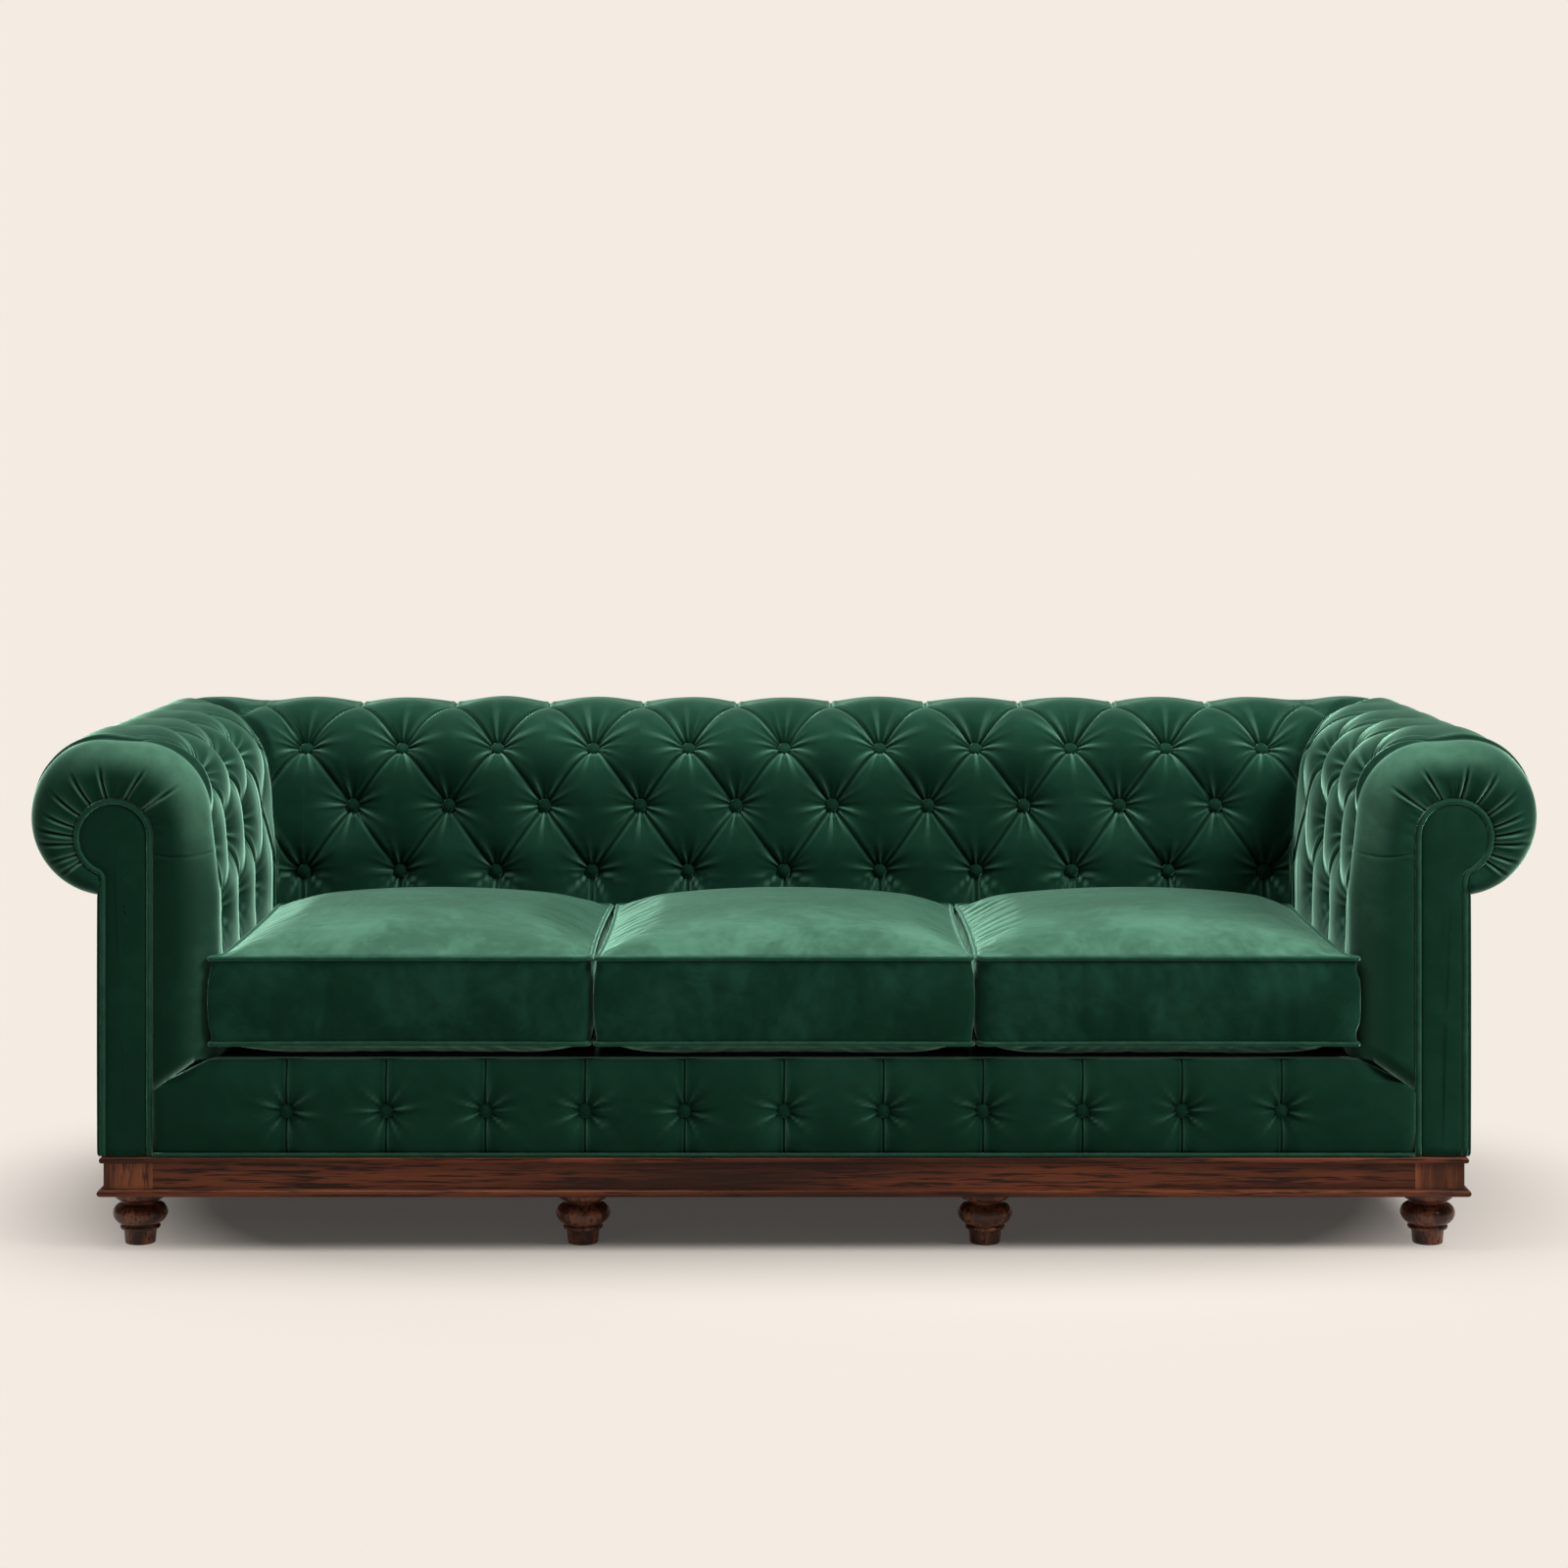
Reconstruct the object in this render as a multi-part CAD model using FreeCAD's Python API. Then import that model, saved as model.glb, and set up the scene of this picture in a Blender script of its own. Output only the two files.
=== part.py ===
import FreeCAD, Part

import math
import os

# A three-seat chesterfield sofa, in millimetres. X runs from the left arm to the right arm as
# seen from the front, Y runs from the front to the back, and Z is up. The origin is on the
# floor, under the middle of the whole sofa. Each file in parts/ is one piece.

# Overall size
overall_width = 2300.0
overall_depth = 910.0

# Section that the arms and the back share. "In" is the distance from the inside face of an arm
# or of the back, outwards.
deck_height = 291.0
lean_height = 540.0
shoulder_in = 127.0
roll_in = 166.0
roll_height = 660.0
roll_radius = 113.0
outer_puff = 2.0
roll_end_degrees = -84.0

# Wooden core of the arms and the back: a post with a round head
core_in = 96.0
core_width = 80.0
head_radius = 60.0
head_height = 630.0
core_fillet = 10.0
post_setback = 2.0

# Deep buttoning. Rows are counted up the section, from the lowest row of buttons.
first_row = 210.0
row_pitch = 110.0
arm_pitch = 165.0
back_columns = 11
back_pitches_across = 10.533
dip_depths = (30.0, 30.0, 30.0, 14.0)
crown_heights = (0.0, 2.0, 10.0, 17.0)
groove_depth = 13.0
lower_pleats = ((0.0, 6.0), (100.0, 10.0), (170.0, 16.0))
top_pleat = 9.0
mitre_depth = 8.0
facets_per_tuft = 3
roll_facet_degrees = 18.0
core_facets = 11

# Plain band in front of the buttoning on each arm
band_width = 62.0
band_rounding = ((1.0, 18.0), (4.0, 11.0), (11.0, 4.0), (24.0, 0.0))

# Buttons covered in velvet
button_radius = 11.0
button_dome = 4.5
button_rim = 11.5
stem_radius = 0.5
stem_seat = 0.7
button_sides = 8

# Show-wood plinth
foot_height = 82.0
base_moulding_height = 12.0
base_moulding_out = 9.0
top_bead_height = 10.0
top_bead_out = 6.0
plinth_height = 143.0
plinth_board = 25.0
corner_block = 75.0

# Turned feet
foot_inset = 55.0
inner_foot_x = 310.0
outer_foot_inset = 46.0
foot_cup_radius = 41.0
foot_neck_radius = 26.5
foot_bulb_radius = 42.0
foot_ring_radius = 30.5
foot_toe_radius = 23.0
foot_sides = 16
bolt_radius = 5.0
bolt_length = 84.0
bolt_in_foot = 30.0
bolt_sides = 8
nut_radius = 9.0
nut_height = 12.0
nut_sides = 6

# Beech frame
front_board = 25.0
seat_rail_thickness = 35.0
side_rail_bottom = 175.0
bearer_width = 45.0
bearer_height = 40.0
bearer_x = 290.0
top_rail_width = 50.0
top_rail_height = 40.0
liner_thickness = 3.0
back_board_x = 310.0

# Webbing, platform and coverings
web_width = 60.0
web_thickness = 1.5
web_count_across = 15
web_count_along = 4
deck_thickness = 25.2
dust_cover_thickness = 1.2
panel_thickness = 5.0
facing_recess = 8.0
facing_thickness = 9.0
facing_piping_radius = 3.8
facing_facets = 22
piping_sides = 5

# Buttoned front border under the cushions
border_buttons = 11
border_pitch = 152.0
border_bulge = 11.0
border_pleat = 6.0
border_pleat_half = 20.0
border_dip = 12.0
border_top_depth = 30.0
border_face = 1.3
border_levels = (0.0, 20.0, 44.0, 69.0, 94.0, 119.0, 136.0, 146.7)
border_button_level = 69.0
border_mitre = 48.0
border_mitre_width = 68.0

# Loose seat cushions
cushion_count = 3
cushion_gap = 1.0
cushion_side_clearance = 1.5
cushion_front = 3.0
boxing_above_deck = 22.0
boxing_height = 129.0
boxing_bulge = 2.0
bulge_band = 34.0
cushion_crown = 70.0
crown_reach_share = 0.344
cushion_bottom_bulge = 22.0
cushion_corner = 20.0
corner_growth = 0.15
corner_steps = 3
side_steps = 4
side_draw = 5.0
piping_radius = 3.2
seam_slope = 0.5
wrap_thickness = 12.0
foam_corner = 45.0
placket_length = 480.0
placket_height = 16.0

# Clearances
gap = 0.3
bolt_clearance = 0.05

front_y = -overall_depth / 2
plinth_face = front_y + base_moulding_out
inside_half = overall_width / 2 - roll_in - roll_radius - outer_puff
back_face = overall_depth / 2 - roll_in - roll_radius - outer_puff
core_out = core_in + core_width
head_in = core_in + head_radius
back_pitch = 2 * inside_half / back_pitches_across
frame_half = inside_half + core_out
frame_back = back_face + core_out
border_bottom = plinth_height + gap
plinth_half = frame_half - top_bead_out
plinth_back = frame_back - top_bead_out
facing_y = front_y + facing_recess
board_front = facing_y + facing_thickness
board_back = board_front + front_board
rail_in = core_in - seat_rail_thickness
seat_rail_top = deck_height - gap - deck_thickness - 2 * web_thickness
nut_low = plinth_height - nut_height


def vec(x, y, z):
    return FreeCAD.Vector(x, y, z)


def save(name, *shapes):
    """Write one named piece, or a group of alike pieces, as a STEP file."""
    solids = [solid for shape in shapes for solid in shape.Solids]
    shape = solids[0] if len(solids) == 1 else Part.makeCompound(solids)
    shape.exportStep(f"parts/{name}.step")


def box(x_range, y_range, z_range):
    """A rectangular piece of wood between three pairs of coordinates."""
    low = vec(x_range[0], y_range[0], z_range[0])
    size = [high - low_ for low_, high in (x_range, y_range, z_range)]
    return Part.makeBox(*size, low)


def mirrored(shape):
    """The same piece on the other side of the sofa."""
    return shape.mirror(vec(0, 0, 0), vec(1, 0, 0))


def facet(*points):
    return Part.Face(Part.makePolygon(list(points) + [points[0]]))


def cell(near, near_next, far_next, far, fold):
    """Four corners joined by one flat face, or by two that fold along a diagonal."""
    span = (near_next - near).cross(far - near)
    lift = abs(span.dot(far_next - near))
    if lift < 1e-6 * max(span.Length, 1):
        return [facet(near, near_next, far_next, far)]
    if fold:
        return [facet(near, near_next, far_next), facet(near, far_next, far)]
    return [facet(near, near_next, far), facet(near_next, far_next, far)]


def solid_of(faces):
    """A solid from flat faces that close round it."""
    shell = Part.makeShell(faces)
    shell.sewShape()
    solid = Part.makeSolid(shell)
    if solid.Volume < 0:
        solid.reverse()
    return solid


def flat_loft(sections, ring=False):
    """A loft in flat faces through closed sections of points, end to end or as a ring."""
    faces = []
    pairs = list(zip(sections, sections[1:]))
    if ring:
        pairs.append((sections[-1], sections[0]))
    else:
        faces += [facet(*sections[0]), facet(*sections[-1])]
    for near, far in pairs:
        for j in range(len(near)):
            k = (j + 1) % len(near)
            faces += cell(near[j], near[k], far[k], far[j], True)
    return solid_of(faces)


def padding(sections, inner_start, inner_end, fold=lambda i, j: True):
    """A padded skin through open sections of points, closed by straight faces behind it. The
    inner points run on from the last point of the first and of the last section."""
    faces = []
    for i, (near, far) in enumerate(zip(sections, sections[1:])):
        for j in range(len(near) - 1):
            faces += cell(near[j], near[j + 1], far[j + 1], far[j], fold(i, j))
    for a, b, c, d in zip(inner_start, inner_start[1:], inner_end[1:], inner_end):
        faces.append(facet(a, b, c, d))
    first_edge = [section[0] for section in sections]
    last_edge = [section[-1] for section in sections]
    faces.append(facet(*first_edge, inner_end[-1], inner_start[-1]))
    faces.append(facet(*last_edge, inner_end[0], inner_start[0]))
    faces.append(facet(*sections[0], *inner_start))
    faces.append(facet(*sections[-1], *inner_end))
    return solid_of(faces)


def turned(profile_points, sides):
    """A turned piece on the origin from (radius, height) points, with flat sides."""
    sections = []
    for radius, height in profile_points:
        angles = [2 * math.pi * (i + 0.5) / sides for i in range(sides)]
        sections.append([vec(radius * math.cos(a), radius * math.sin(a), height) for a in angles])
    return flat_loft(sections)


def bar(radius, low, high, sides):
    return turned(((radius, low), (radius, high)), sides)


def cord(path, normal, radius, sides, ring=False):
    """A cord with flat sides along points in one plane, mitred where it turns."""
    sections = []
    last = len(path) - 1
    for i, point in enumerate(path):
        before = path[i - 1] if i > 0 or ring else point
        after = path[(i + 1) % len(path)] if i < last or ring else point
        arriving = point - before if before != point else after - point
        leaving = after - point if after != point else point - before
        arriving.normalize()
        leaving.normalize()
        across = (arriving + leaving).cross(normal)
        across.normalize()
        stretch = radius / math.sqrt((1 + arriving.dot(leaving)) / 2)
        angles = [2 * math.pi * (k + 0.5) / sides for k in range(sides)]
        section = []
        for angle in angles:
            sideways = across * (stretch * math.cos(angle))
            section.append(point + sideways + normal * (radius * math.sin(angle)))
        sections.append(section)
    return flat_loft(sections, ring)


def polygon_prism(points, direction):
    """A prism from a closed polygon of points, along a vector."""
    wire = Part.makePolygon(points + points[:1])
    return Part.Face(wire).extrude(direction)


# Section of the arms and the back: a straight face, a slight lean, a round shoulder, a short
# flat top and a round roll. A place on it is the length measured up from the deck.
def tangent_from_lean():
    """Length and direction in degrees of the lean, which touches the shoulder's circle."""
    rise = roll_height - lean_height
    reach = math.hypot(shoulder_in, rise)
    towards = math.degrees(math.atan2(rise, shoulder_in))
    swing = math.degrees(math.asin(roll_radius / reach))
    return math.sqrt(reach**2 - roll_radius**2), towards + swing


lean_length, lean_degrees = tangent_from_lean()
face_end = lean_height - deck_height
lean_end = face_end + lean_length
shoulder_end = lean_end + math.radians(lean_degrees) * roll_radius
top_end = shoulder_end + roll_in - shoulder_in


def profile(length, proud):
    """The point (in, height) at a length up the section, moved outwards by proud."""
    if length <= face_end:
        return -proud, deck_height + length
    if length <= lean_end:
        along = length - face_end
        lean = math.radians(lean_degrees)
        across = along * math.cos(lean) - proud * math.sin(lean)
        return across, lean_height + along * math.sin(lean) + proud * math.cos(lean)
    if length <= shoulder_end:
        turned = 90 + math.degrees((shoulder_end - length) / roll_radius)
        return on_circle(shoulder_in, turned, roll_radius + proud)
    if length <= top_end:
        return shoulder_in + length - shoulder_end, roll_height + roll_radius + proud
    turned = 90 - math.degrees((length - top_end) / roll_radius)
    return on_circle(roll_in, turned, roll_radius + proud)


def on_circle(centre_in, degrees, radius):
    """The point (in, height) on a circle centred at the height of the roll."""
    angle = math.radians(degrees)
    return centre_in + radius * math.cos(angle), roll_height + radius * math.sin(angle)


def row_length(row):
    return first_row + row * row_pitch


def at_row(values, row):
    """A value listed for each row of buttons, blended between rows."""
    low = min(int(row), len(values) - 2)
    share = min(max(row - low, 0), 1)
    return values[low] * (1 - share) + values[low + 1] * share


def tuft_height(share, row):
    """How proud the buttoned surface stands. Share is 0 in a column that has buttons on even
    rows and 1 in the next one, which has them on odd rows. The diamonds' edges run where
    (share + row) / 2 or (share - row) / 2 is a whole number, and buttons sit where both are."""
    rising = abs(math.remainder(share + row, 2))
    falling = abs(math.remainder(share - row, 2))
    puff = math.sqrt(math.sin(math.pi / 2 * rising) * math.sin(math.pi / 2 * falling))
    pull = (1 - min(rising, 1)) ** 2 * (1 - min(falling, 1)) ** 2
    dip = at_row(dip_depths, row)
    groove = min(groove_depth, dip)
    valley = groove + (dip - groove) * pull
    return at_row(crown_heights, row) * puff - valley * (1 - puff)


def lower_height(share, length):
    """How proud the surface stands below the lowest buttons, where straight pleats fall."""
    depth = dict(lower_pleats)[length]
    return -depth * (1 - math.sin(math.pi / 2 * share))


def skin_section(place, share=1.0, inset=0.0, plain=False):
    """Points of one section over a pad's skin, from the deck to the post behind the roll. Share
    is as in tuft_height. A plain section has no buttoning, and lies inset below full size."""
    points = []

    def add(length, proud):
        points.append(place(*profile(length, -inset if plain else proud)))

    for length, depth in lower_pleats:
        add(length, lower_height(share, length))
    for step in range(3 * facets_per_tuft + 1):
        row = step / facets_per_tuft
        add(row_length(row), tuft_height(share, row))
    top_crown = crown_heights[-1]
    add(top_end, top_crown - top_pleat * share**2)
    turns = int((90 - roll_end_degrees) / roll_facet_degrees)
    for turn in range(1, turns + 1):
        degrees = 90 - turn * roll_facet_degrees
        crown = outer_puff + (top_crown - outer_puff) * max(0, math.sin(math.radians(degrees)))**2
        pleat = top_pleat * share**2 * (1 - turn / (turns + 1))
        add(top_end + math.radians(90 - degrees) * roll_radius, crown - pleat)
    radius = roll_radius - (inset if plain else 0)
    across = core_out + post_setback - roll_in
    end_height = roll_height - math.sqrt(radius**2 - across**2)
    points.append(place(core_out + post_setback, end_height))
    points.append(place(core_out, end_height))
    return points


def left_arm_place(y):
    """Puts a point of the section on the left arm, in the plane at y."""
    return lambda d, z: vec(-inside_half - d, y, z)


def back_place(x):
    """Puts a point of the section on the back, in the plane at x."""
    return lambda d, z: vec(x, back_face + d, z)


def mitre_place(side):
    """Puts a point of the section on the slanting plane where an arm meets the back."""
    return lambda d, z: vec(side * (inside_half + d), back_face + d, z)


def scroll_outline(inset, facets, place, foot=None):
    """Points round the post with its round head, drawn in by inset, from the fillet under the
    head to the inner foot, and on to the outer foot where a foot height is given."""
    radius = head_radius - inset
    fillet = core_fillet + inset
    outer = core_out - inset
    centre_in = outer + fillet
    drop = math.sqrt((radius + fillet) ** 2 - (centre_in - head_in) ** 2)
    share = radius / (radius + fillet)
    touch_in = head_in + (centre_in - head_in) * share
    touch_height = head_height - drop * share
    touch = math.degrees(math.atan2(-drop, centre_in - head_in))
    step = (180 - touch) / facets
    corner_radius = radius / math.cos(math.radians(step / 2))
    points = [(outer, head_height - drop), (touch_in, touch_height)]
    for i in range(facets):
        angle = math.radians(touch + (i + 0.5) * step)
        points.append(
            (
                head_in + corner_radius * math.cos(angle),
                head_height + corner_radius * math.sin(angle),
            )
        )
    points.append((core_in + inset, deck_height if foot is None else foot))
    if foot is not None:
        points.append((outer, foot))
    return [place(*point) for point in points]


def scroll_board(inset, facets, place, foot, direction):
    """The post with its round head, as thick as direction is long."""
    return polygon_prism(scroll_outline(inset, facets, place, foot), direction)


# Buttoned pads
def column_share(steps):
    """Share of a section that lies this many facets from a column with two rows of buttons."""
    return abs(math.remainder(steps, 2 * facets_per_tuft)) / facets_per_tuft


def arm_columns():
    """(Y, share) of the buttoned sections down an arm, from the band to the last column."""
    start = front_y + band_width
    step = arm_pitch / 2 / facets_per_tuft
    tufts = int((back_face - start) / (arm_pitch / 2))
    count = tufts * facets_per_tuft
    return [(start + i * step, column_share(facets_per_tuft + i)) for i in range(count + 1)]


def back_column_places():
    """(X, share) of the buttoned sections along the back."""
    step = back_pitch / 2 / facets_per_tuft
    half = (back_columns - 1) * facets_per_tuft
    return [(i * step, column_share(i + half)) for i in range(-half, half + 1)]


def tuft_fold(shares, first):
    """Which way each cell between two sections folds, so that the creases run from button to
    button. First is the number of plain sections before the buttoned ones."""
    lower = len(lower_pleats)

    def fold(i, j):
        i -= first
        j -= lower
        if not (0 <= i < len(shares) - 1 and 0 <= j < 3 * facets_per_tuft):
            return True
        rising_column = shares[i + 1] > shares[i]
        rising_row = (j // facets_per_tuft) % 2 == 0
        return rising_column == rising_row

    return fold


def mitre_section(side):
    return skin_section(mitre_place(side), inset=mitre_depth, plain=True)


def left_arm_pad():
    """Padding of the left arm: a plain rounded band, then buttoning up to the mitre."""
    sections = [
        skin_section(left_arm_place(front_y + y), inset=inset, plain=True)
        for y, inset in band_rounding
    ]
    columns = arm_columns()
    sections += [skin_section(left_arm_place(y), share) for y, share in columns]
    sections.append(mitre_section(-1))
    front = front_y + band_rounding[0][0]
    start = scroll_outline(0, core_facets, left_arm_place(front))
    end = scroll_outline(0, core_facets, mitre_place(-1))
    fold = tuft_fold([share for y, share in columns], len(band_rounding))
    pad = padding(sections, start, end, fold)
    toe_front = front_y + band_rounding[-1][0] / 4
    toe = [
        vec(-inside_half - core_in, toe_front, deck_height - border_mitre),
        vec(-inside_half - core_in, toe_front, deck_height),
        vec(-inside_half - core_in + border_mitre_width, toe_front, deck_height),
    ]
    return pad.fuse(polygon_prism(toe, vec(0, board_back - gap - toe_front, 0)))


def back_pad():
    """Padding of the back, buttoned from mitre to mitre."""
    columns = back_column_places()
    sections = [skin_section(back_place(x), share) for x, share in columns]
    sections = [mitre_section(-1)] + sections + [mitre_section(1)]
    start = scroll_outline(0, core_facets, mitre_place(-1))
    end = scroll_outline(0, core_facets, mitre_place(1))
    return padding(sections, start, end, tuft_fold([share for x, share in columns], 1))


# Buttons
def button():
    """One covered button on its drawn-in neck, standing on the origin along Z."""
    outline = [
        (stem_radius, stem_seat - gap),
        (button_radius, button_rim),
        (button_radius * 0.6, button_rim + button_dome),
    ]
    return turned(outline, button_sides)


def seated(shape, point, outwards):
    """A button moved to its dip, a hair above it, facing outwards."""
    turned = shape.copy()
    place = FreeCAD.Placement(point + outwards * gap, FreeCAD.Rotation(vec(0, 0, 1), outwards))
    turned.Placement = place.multiply(turned.Placement)
    return turned


def tuft_button(place, share, row):
    """A button in the dip at a row of the section that place puts in space."""
    height = tuft_height(share, row)
    low = place(*profile(row_length(row), height))
    high = place(*profile(row_length(row), height + 1))
    return seated(button(), low, high - low)


def button_rows(share):
    """Rows with buttons in a column: the top pleats have none."""
    return (0, 2) if share == 0 else (1,)


def buttons_for(place_at, columns):
    return [
        tuft_button(place_at(position), share, row)
        for position, share in columns
        if share in (0, 1)
        for row in button_rows(share)
    ]


# Plinth and feet
def moulding(out, low, high, side):
    """One mitred length of rounded moulding: front, rear, left or right."""
    half = plinth_half
    ends = {
        "front": ((-half, plinth_face), (half, plinth_face), (0, 1)),
        "rear": ((half, plinth_back), (-half, plinth_back), (0, -1)),
        "left": ((-half, plinth_back), (-half, plinth_face), (1, 0)),
        "right": ((half, plinth_face), (half, plinth_back), (-1, 0)),
    }
    start, end, inwards = ends[side]
    length = math.hypot(end[0] - start[0], end[1] - start[1])
    along = ((end[0] - start[0]) / length, (end[1] - start[1]) / length)
    middle = (low + high) / 2
    rise = (high - low) / 2
    nose = [(0, low)]
    for degrees in (-75, -25, 25, 75):
        angle = math.radians(degrees)
        proud = out * math.cos(angle) / math.cos(math.radians(25))
        nose.append((proud, middle + rise * math.sin(angle)))
    nose.append((0, high))

    def section(corner, direction):
        points = []
        for proud, z in nose:
            x = corner[0] - inwards[0] * proud + direction * along[0] * proud
            y = corner[1] - inwards[1] * proud + direction * along[1] * proud
            points.append(vec(x, y, z))
        return points

    return flat_loft([section(start, -1), section(end, 1)])


def make_plinth():
    """Rails, corner blocks, blocks for the inner feet and the mouldings on their faces."""
    low = foot_height
    block_x = plinth_half - corner_block
    block_front = plinth_face + corner_block
    block_back = plinth_back - corner_block
    levels = (low, plinth_height)
    save(
        "plinth_rail_front",
        box((-block_x, block_x), (plinth_face, plinth_face + plinth_board), levels),
    )
    save(
        "plinth_rail_rear",
        box((-block_x, block_x), (plinth_back - plinth_board, plinth_back), levels),
    )
    left = box((-plinth_half, -plinth_half + plinth_board), (block_front, block_back), levels)
    save("plinth_rail_left", left)
    save("plinth_rail_right", mirrored(left))
    blocks = []
    for y_range in ((plinth_face, block_front), (block_back, plinth_back)):
        block = box((-plinth_half, -block_x), y_range, levels)
        blocks += [block, mirrored(block)]
    inner = []
    for y in (plinth_face + plinth_board, block_back):
        y_end = y + corner_block - plinth_board
        block = box(
            (-inner_foot_x - corner_block / 2, -inner_foot_x + corner_block / 2), (y, y_end), levels
        )
        inner += [block, mirrored(block)]
    bore = bar(bolt_radius + bolt_clearance, foot_height - 1, plinth_height, bolt_sides)
    pocket = bar(nut_radius + gap, nut_low - gap, plinth_height + 1, nut_sides)
    for hole in placed(bore.fuse(pocket), foot_places()):
        blocks = [block.cut(hole) for block in blocks]
        inner = [block.cut(hole) for block in inner]
    save("plinth_corner_blocks", *blocks)
    save("plinth_foot_blocks", *inner)
    for side in ("front", "rear", "left", "right"):
        base = moulding(base_moulding_out, low, low + base_moulding_height, side)
        bead = moulding(top_bead_out, plinth_height - top_bead_height, plinth_height, side)
        save(f"plinth_mouldings_{side}", base, bead)


def foot_places():
    """(X, Y) of the feet's centres: four along the front and four along the rear."""
    outer = plinth_half - outer_foot_inset
    rows = (plinth_face + foot_inset, plinth_back - foot_inset)
    return [(x, y) for y in rows for x in (-outer, -inner_foot_x, inner_foot_x, outer)]


def foot():
    """One turned foot on the origin: toe, ring, bulb, neck and cup, bored for its bolt."""
    h = foot_height
    outline = [
        (foot_toe_radius - 1, 0),
        (foot_toe_radius, 1.5),
        (foot_toe_radius + 2, h * 0.28),
        (foot_ring_radius, h * 0.295),
        (foot_ring_radius, h * 0.375),
        (foot_bulb_radius * 0.76, h * 0.40),
        (foot_bulb_radius, h * 0.54),
        (foot_bulb_radius * 0.94, h * 0.67),
        (foot_neck_radius, h * 0.77),
        (foot_cup_radius, h * 0.92),
        (foot_cup_radius, h),
    ]
    bore = bar(bolt_radius + bolt_clearance, h - bolt_in_foot - gap, h + 1, bolt_sides)
    return turned(outline, foot_sides).cut(bore)


def placed(shape, positions, z=0.0):
    """Copies of a piece at each (X, Y)."""
    copies = []
    for x, y in positions:
        copy = shape.copy()
        copy.translate(vec(x, y, z))
        copies.append(copy)
    return copies


def make_feet():
    """The feet, with the bolts and flanged nuts that hold them."""
    save("feet", *placed(foot(), foot_places()))
    low = foot_height - bolt_in_foot
    bolt = bar(bolt_radius, low, low + bolt_length, bolt_sides)
    save("foot_bolts", *placed(bolt, foot_places()))
    bore = bar(bolt_radius + bolt_clearance, nut_low - 1, plinth_height + 1, bolt_sides)
    nut = bar(nut_radius, nut_low, plinth_height, nut_sides).cut(bore)
    save("foot_nuts", *placed(nut, foot_places()))


# Frame
def make_frame():
    """Beech frame: seat rails, bearers, boards with round heads, corner posts and top rails."""
    levels = (plinth_height, seat_rail_top)
    side_levels = (side_rail_bottom, seat_rail_top)
    rail_front = (board_back, board_back + seat_rail_thickness)
    side_x = (-inside_half - core_in, -inside_half - rail_in)
    rear_y = (back_face + rail_in, back_face + core_in)
    save("seat_rail_front", box((-frame_half, frame_half), rail_front, levels))
    save("seat_rail_rear", box((side_x[1], -side_x[1]), rear_y, side_levels))
    left_rail = box(side_x, (rail_front[1], frame_back), side_levels)
    save("seat_rail_left", left_rail)
    save("seat_rail_right", mirrored(left_rail))
    bearer_levels = (side_rail_bottom, side_rail_bottom + bearer_height)
    bearer = box(
        (-bearer_x - bearer_width / 2, -bearer_x + bearer_width / 2),
        (rail_front[1], rear_y[0]),
        bearer_levels,
    )
    save("seat_bearers", bearer, mirrored(bearer))

    left_board = scroll_board(
        gap, core_facets, left_arm_place(board_front), plinth_height, vec(0, front_board, 0)
    )
    save("arm_front_board_left", left_board)
    save("arm_front_board_right", mirrored(left_board))
    post = box(
        (-frame_half + gap, -inside_half - core_in - gap),
        (back_face + core_in + gap, frame_back - gap),
        (plinth_height, head_height),
    )
    save("corner_post_left", post)
    save("corner_post_right", mirrored(post))

    rail_levels = (head_height - top_rail_height / 2, head_height + top_rail_height / 2)
    rail_near = head_in - top_rail_width / 2
    rail_far = head_in + top_rail_width / 2
    arm_rail = box(
        (-inside_half - rail_far, -inside_half - rail_near),
        (board_back, back_face + core_in + gap),
        rail_levels,
    )
    save("arm_top_rail_left", arm_rail)
    save("arm_top_rail_right", mirrored(arm_rail))
    post_inner = inside_half + core_in
    back_rail = box(
        (-post_inner, post_inner), (back_face + rail_near, back_face + rail_far), rail_levels
    )
    save("back_top_rail", back_rail)
    inset = liner_thickness + 2 * gap
    boards = []
    for side in (-1, 1):
        x = side * back_board_x - front_board / 2
        head = scroll_board(
            inset, core_facets, back_place(x), deck_height, vec(front_board, 0, 0)
        )
        stub = box(
            (x, x + front_board),
            (back_face + core_in + gap, frame_back),
            (plinth_height, deck_height),
        )
        boards.append(head.fuse(stub).cut(back_rail))
    save("back_scroll_boards", *boards)


def liner(place, direction):
    """Bent board over the post and head, on which the padding is laid."""
    outer = scroll_board(gap, core_facets, place, deck_height, direction)
    inner = scroll_board(gap + liner_thickness, core_facets, place, deck_height - 1, direction)
    return outer.cut(inner)


def make_liners():
    start = board_back + gap
    arm = liner(left_arm_place(start), vec(0, back_face + core_in - gap - start, 0))
    save("arm_liner_left", arm)
    save("arm_liner_right", mirrored(arm))
    half = inside_half + core_in - gap
    save("back_liner", liner(back_place(-half), vec(2 * half, 0, 0)))


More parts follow.
